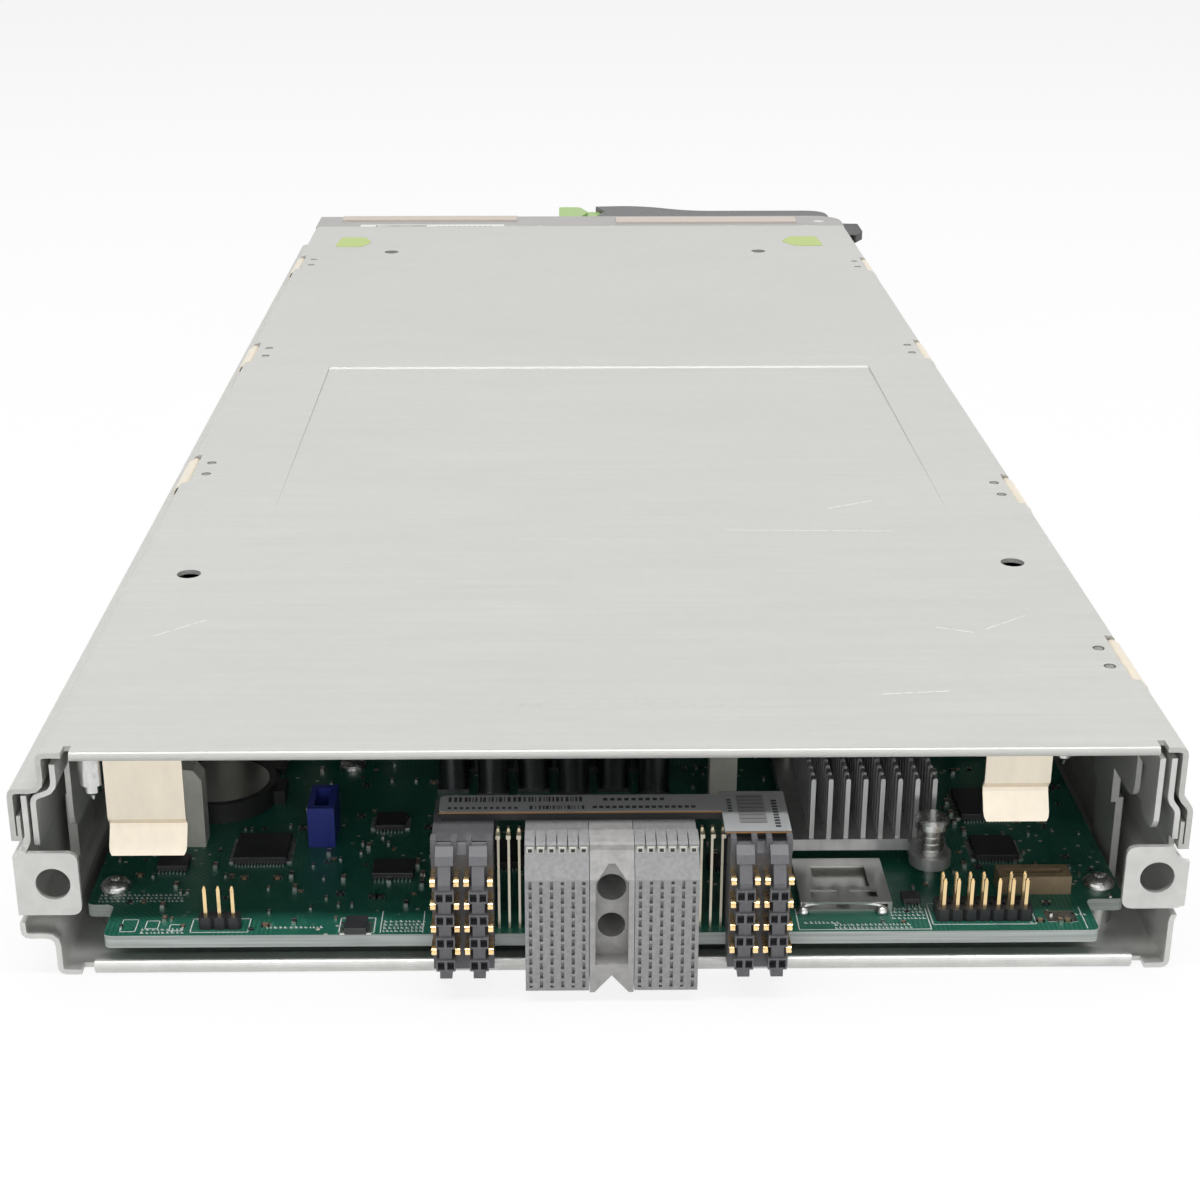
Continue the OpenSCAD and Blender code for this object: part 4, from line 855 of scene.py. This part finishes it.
boardInk = {
    "seed": 5,
    "lift": 0.004,
    "line": 0.18,
    "rearmost": 1.1,
    "outlines": (  # x0, y0, x1, y1
        (-89, 2, -86, 6.5), (-76, 1.6, -65.2, 6.6), (-48.6, -1, -42, 6.6), (61.2, 2.8, 80.6, 10.6),
        (-84.5, 3, -82, 6), (-80, 2.2, -77.4, 4.6),
    ),
    "blocks": (  # x0, x1, y of the first line, lines
        (-85, -77, 1.4, 2), (-40.5, -33, 1.5, 4), (-62, -52, 3, 1), (43, 57, 1.6, 2),
        (37.5, 44, 3.5, 1), (54, 60, 5, 4), (-95, -79, 13, 3), (84, 90, 6, 1),
    ),
    "linePitch": 1.15,
    "markWidths": (0.45, 1.0),
    "markHeights": (0.45, 0.75),
    "markGap": 0.12,
    "rules": (-41, -33.2, 36.2, 60.6, 89.5),  # x of the lines that run forward
    "ruleEnds": (1.2, 9),
    "crossRule": (36.2, 60.6),
    "pad": (82.6, 3.6, 88.4, 7.6),
    "padHeight": 0.06,
    "padEdge": 0.02,
}


def outlineRows(x0, y0, x1, y1, width, z):
    # the four sides of a rectangle as flat marks
    top = z + inkDepth
    return [[x0, y0, z, x1, y0 + width, top], [x0, y1 - width, z, x1, y1, top],
            [x0, y0, z, x0 + width, y1, top], [x1 - width, y0, z, x1, y1, top]]


def printBoard():
    # white outlines and rows of short generic marks along the rear edge
    z = boardTop + boardInk["lift"]
    width = boardInk["line"]
    random = np.random.default_rng(boardInk["seed"])
    rows = []
    for x0, y0, x1, y1 in boardInk["outlines"]:
        rows += outlineRows(x0, max(y0, boardInk["rearmost"]), x1, y1, width, z)
    for first, last, y0, lines in boardInk["blocks"]:
        for line in range(lines):
            x = first
            while x < last:
                step = random.uniform(*boardInk["markWidths"])
                tall = random.uniform(*boardInk["markHeights"])
                y = y0 + boardInk["linePitch"] * line
                # each mark is a low bar with a shorter one above it
                rows.append([x, y, z, x + step * 0.7, y + tall * 0.35, z + inkDepth])
                rows.append([x, y + tall * 0.6, z, x + step * 0.35, y + tall, z + inkDepth])
                x += step + boardInk["markGap"]
    y0, y1 = boardInk["ruleEnds"]
    for x in boardInk["rules"]:
        rows.append([x, y0, z, x + width, y1, z + inkDepth])
    x0, x1 = boardInk["crossRule"]
    rows.append([x0, y0, z, x1, y0 + width, z + inkDepth])
    makePiece("boardPrint", [boxes(rows)], whiteInk, "chassis")
    x0, y0, x1, y1 = boardInk["pad"]
    pads = [[x0, y0, z, x1, y1, z + boardInk["padHeight"]]]
    makePiece("barePad", [boxes(pads)], solderTin, "chassis", bevel=boardInk["padEdge"])


scatterParts()
makeChips()
printBoard()

bail = {
    "y": 7.6,
    "x": (37.6, 52.4),
    "wire": 0.38,
    "bow": 1.4,
    "height": 1.3,
    "points": 25,
    "lump": (1.3, 1.5),  # radius and height of a solder lump
    "lumpBack": 0.2,
}


def makeBail():
    # a wire that bows forward as a parabola between two solder lumps
    x0, x1 = bail["x"]
    count = bail["points"]
    span = np.linspace(-1, 1, count)
    path = np.column_stack([(x0 + x1) / 2 + span * (x1 - x0) / 2, bail["y"] + bail["bow"] * (1 - span ** 2),
                            np.full(count, boardTop + bail["height"])])
    wire = tube(path, bail["wire"])
    makePiece("cageBail", [wire], looks["tinned_steel"], "chassis", smooth=True)
    lumps = [dome(x, bail["y"] - bail["lumpBack"], boardTop, *bail["lump"]) for x in bail["x"]]
    makePiece("cageLumps", lumps, solderTin, "chassis", smooth=True)


makeBail()
print("board dressed")

# bezel

bezelTrim = {
    "labelX": (-84, -28),
    "labelY": (470.3, 477.6),
    "paper": 0.12,
    "bars": (6, 26, 1.4),  # x0 and x1 from the label's left end, margin in y
    "barSeed": 8,
    "marks": {"start": 30, "pitch": 2.0, "width": 1.2, "margins": (1.6, 3.2), "count": 11, "top": 0.14},
    "markLift": 0.121,
    "dots": (-60, -24, -14, 14, 60, 90),
    "dotY": 472.5,
    "dot": (1.5, 0.5),  # radius and height
}


def dressBezel():
    # a bare label with bars and plain marks, and round screw heads beside it
    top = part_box("front_bezel")[1][2] / mm
    (x0, x1), (y0, y1) = bezelTrim["labelX"], bezelTrim["labelY"]
    paper = [[x0, y0, top, x1, y1, top + bezelTrim["paper"]]]
    makePiece("bezelLabel", [boxes(paper)], whiteInk, "chassis")
    first, last, margin = bezelTrim["bars"]
    ink = top + bezelTrim["markLift"]
    marks = codeBars(x0 + first, x0 + last, y0 + margin, y1 - margin, ink, bezelTrim["barSeed"])
    row = bezelTrim["marks"]
    near, far = row["margins"]
    for i in range(row["count"]):
        x = x0 + row["start"] + row["pitch"] * i
        marks.append([x, y0 + near, ink, x + row["width"], y1 - far, top + row["top"]])
    makePiece("bezelMarks", [boxes(marks)], blackInk, "chassis")
    radius, height = bezelTrim["dot"]
    places = [x for x in bezelTrim["dots"] if not x0 < x < x1]
    dots = [dome(x, bezelTrim["dotY"], top, radius, height) for x in places]
    makePiece("bezelDots", dots, looks["turned_steel"], "chassis", smooth=True)


dressBezel()
print("bezel dressed")
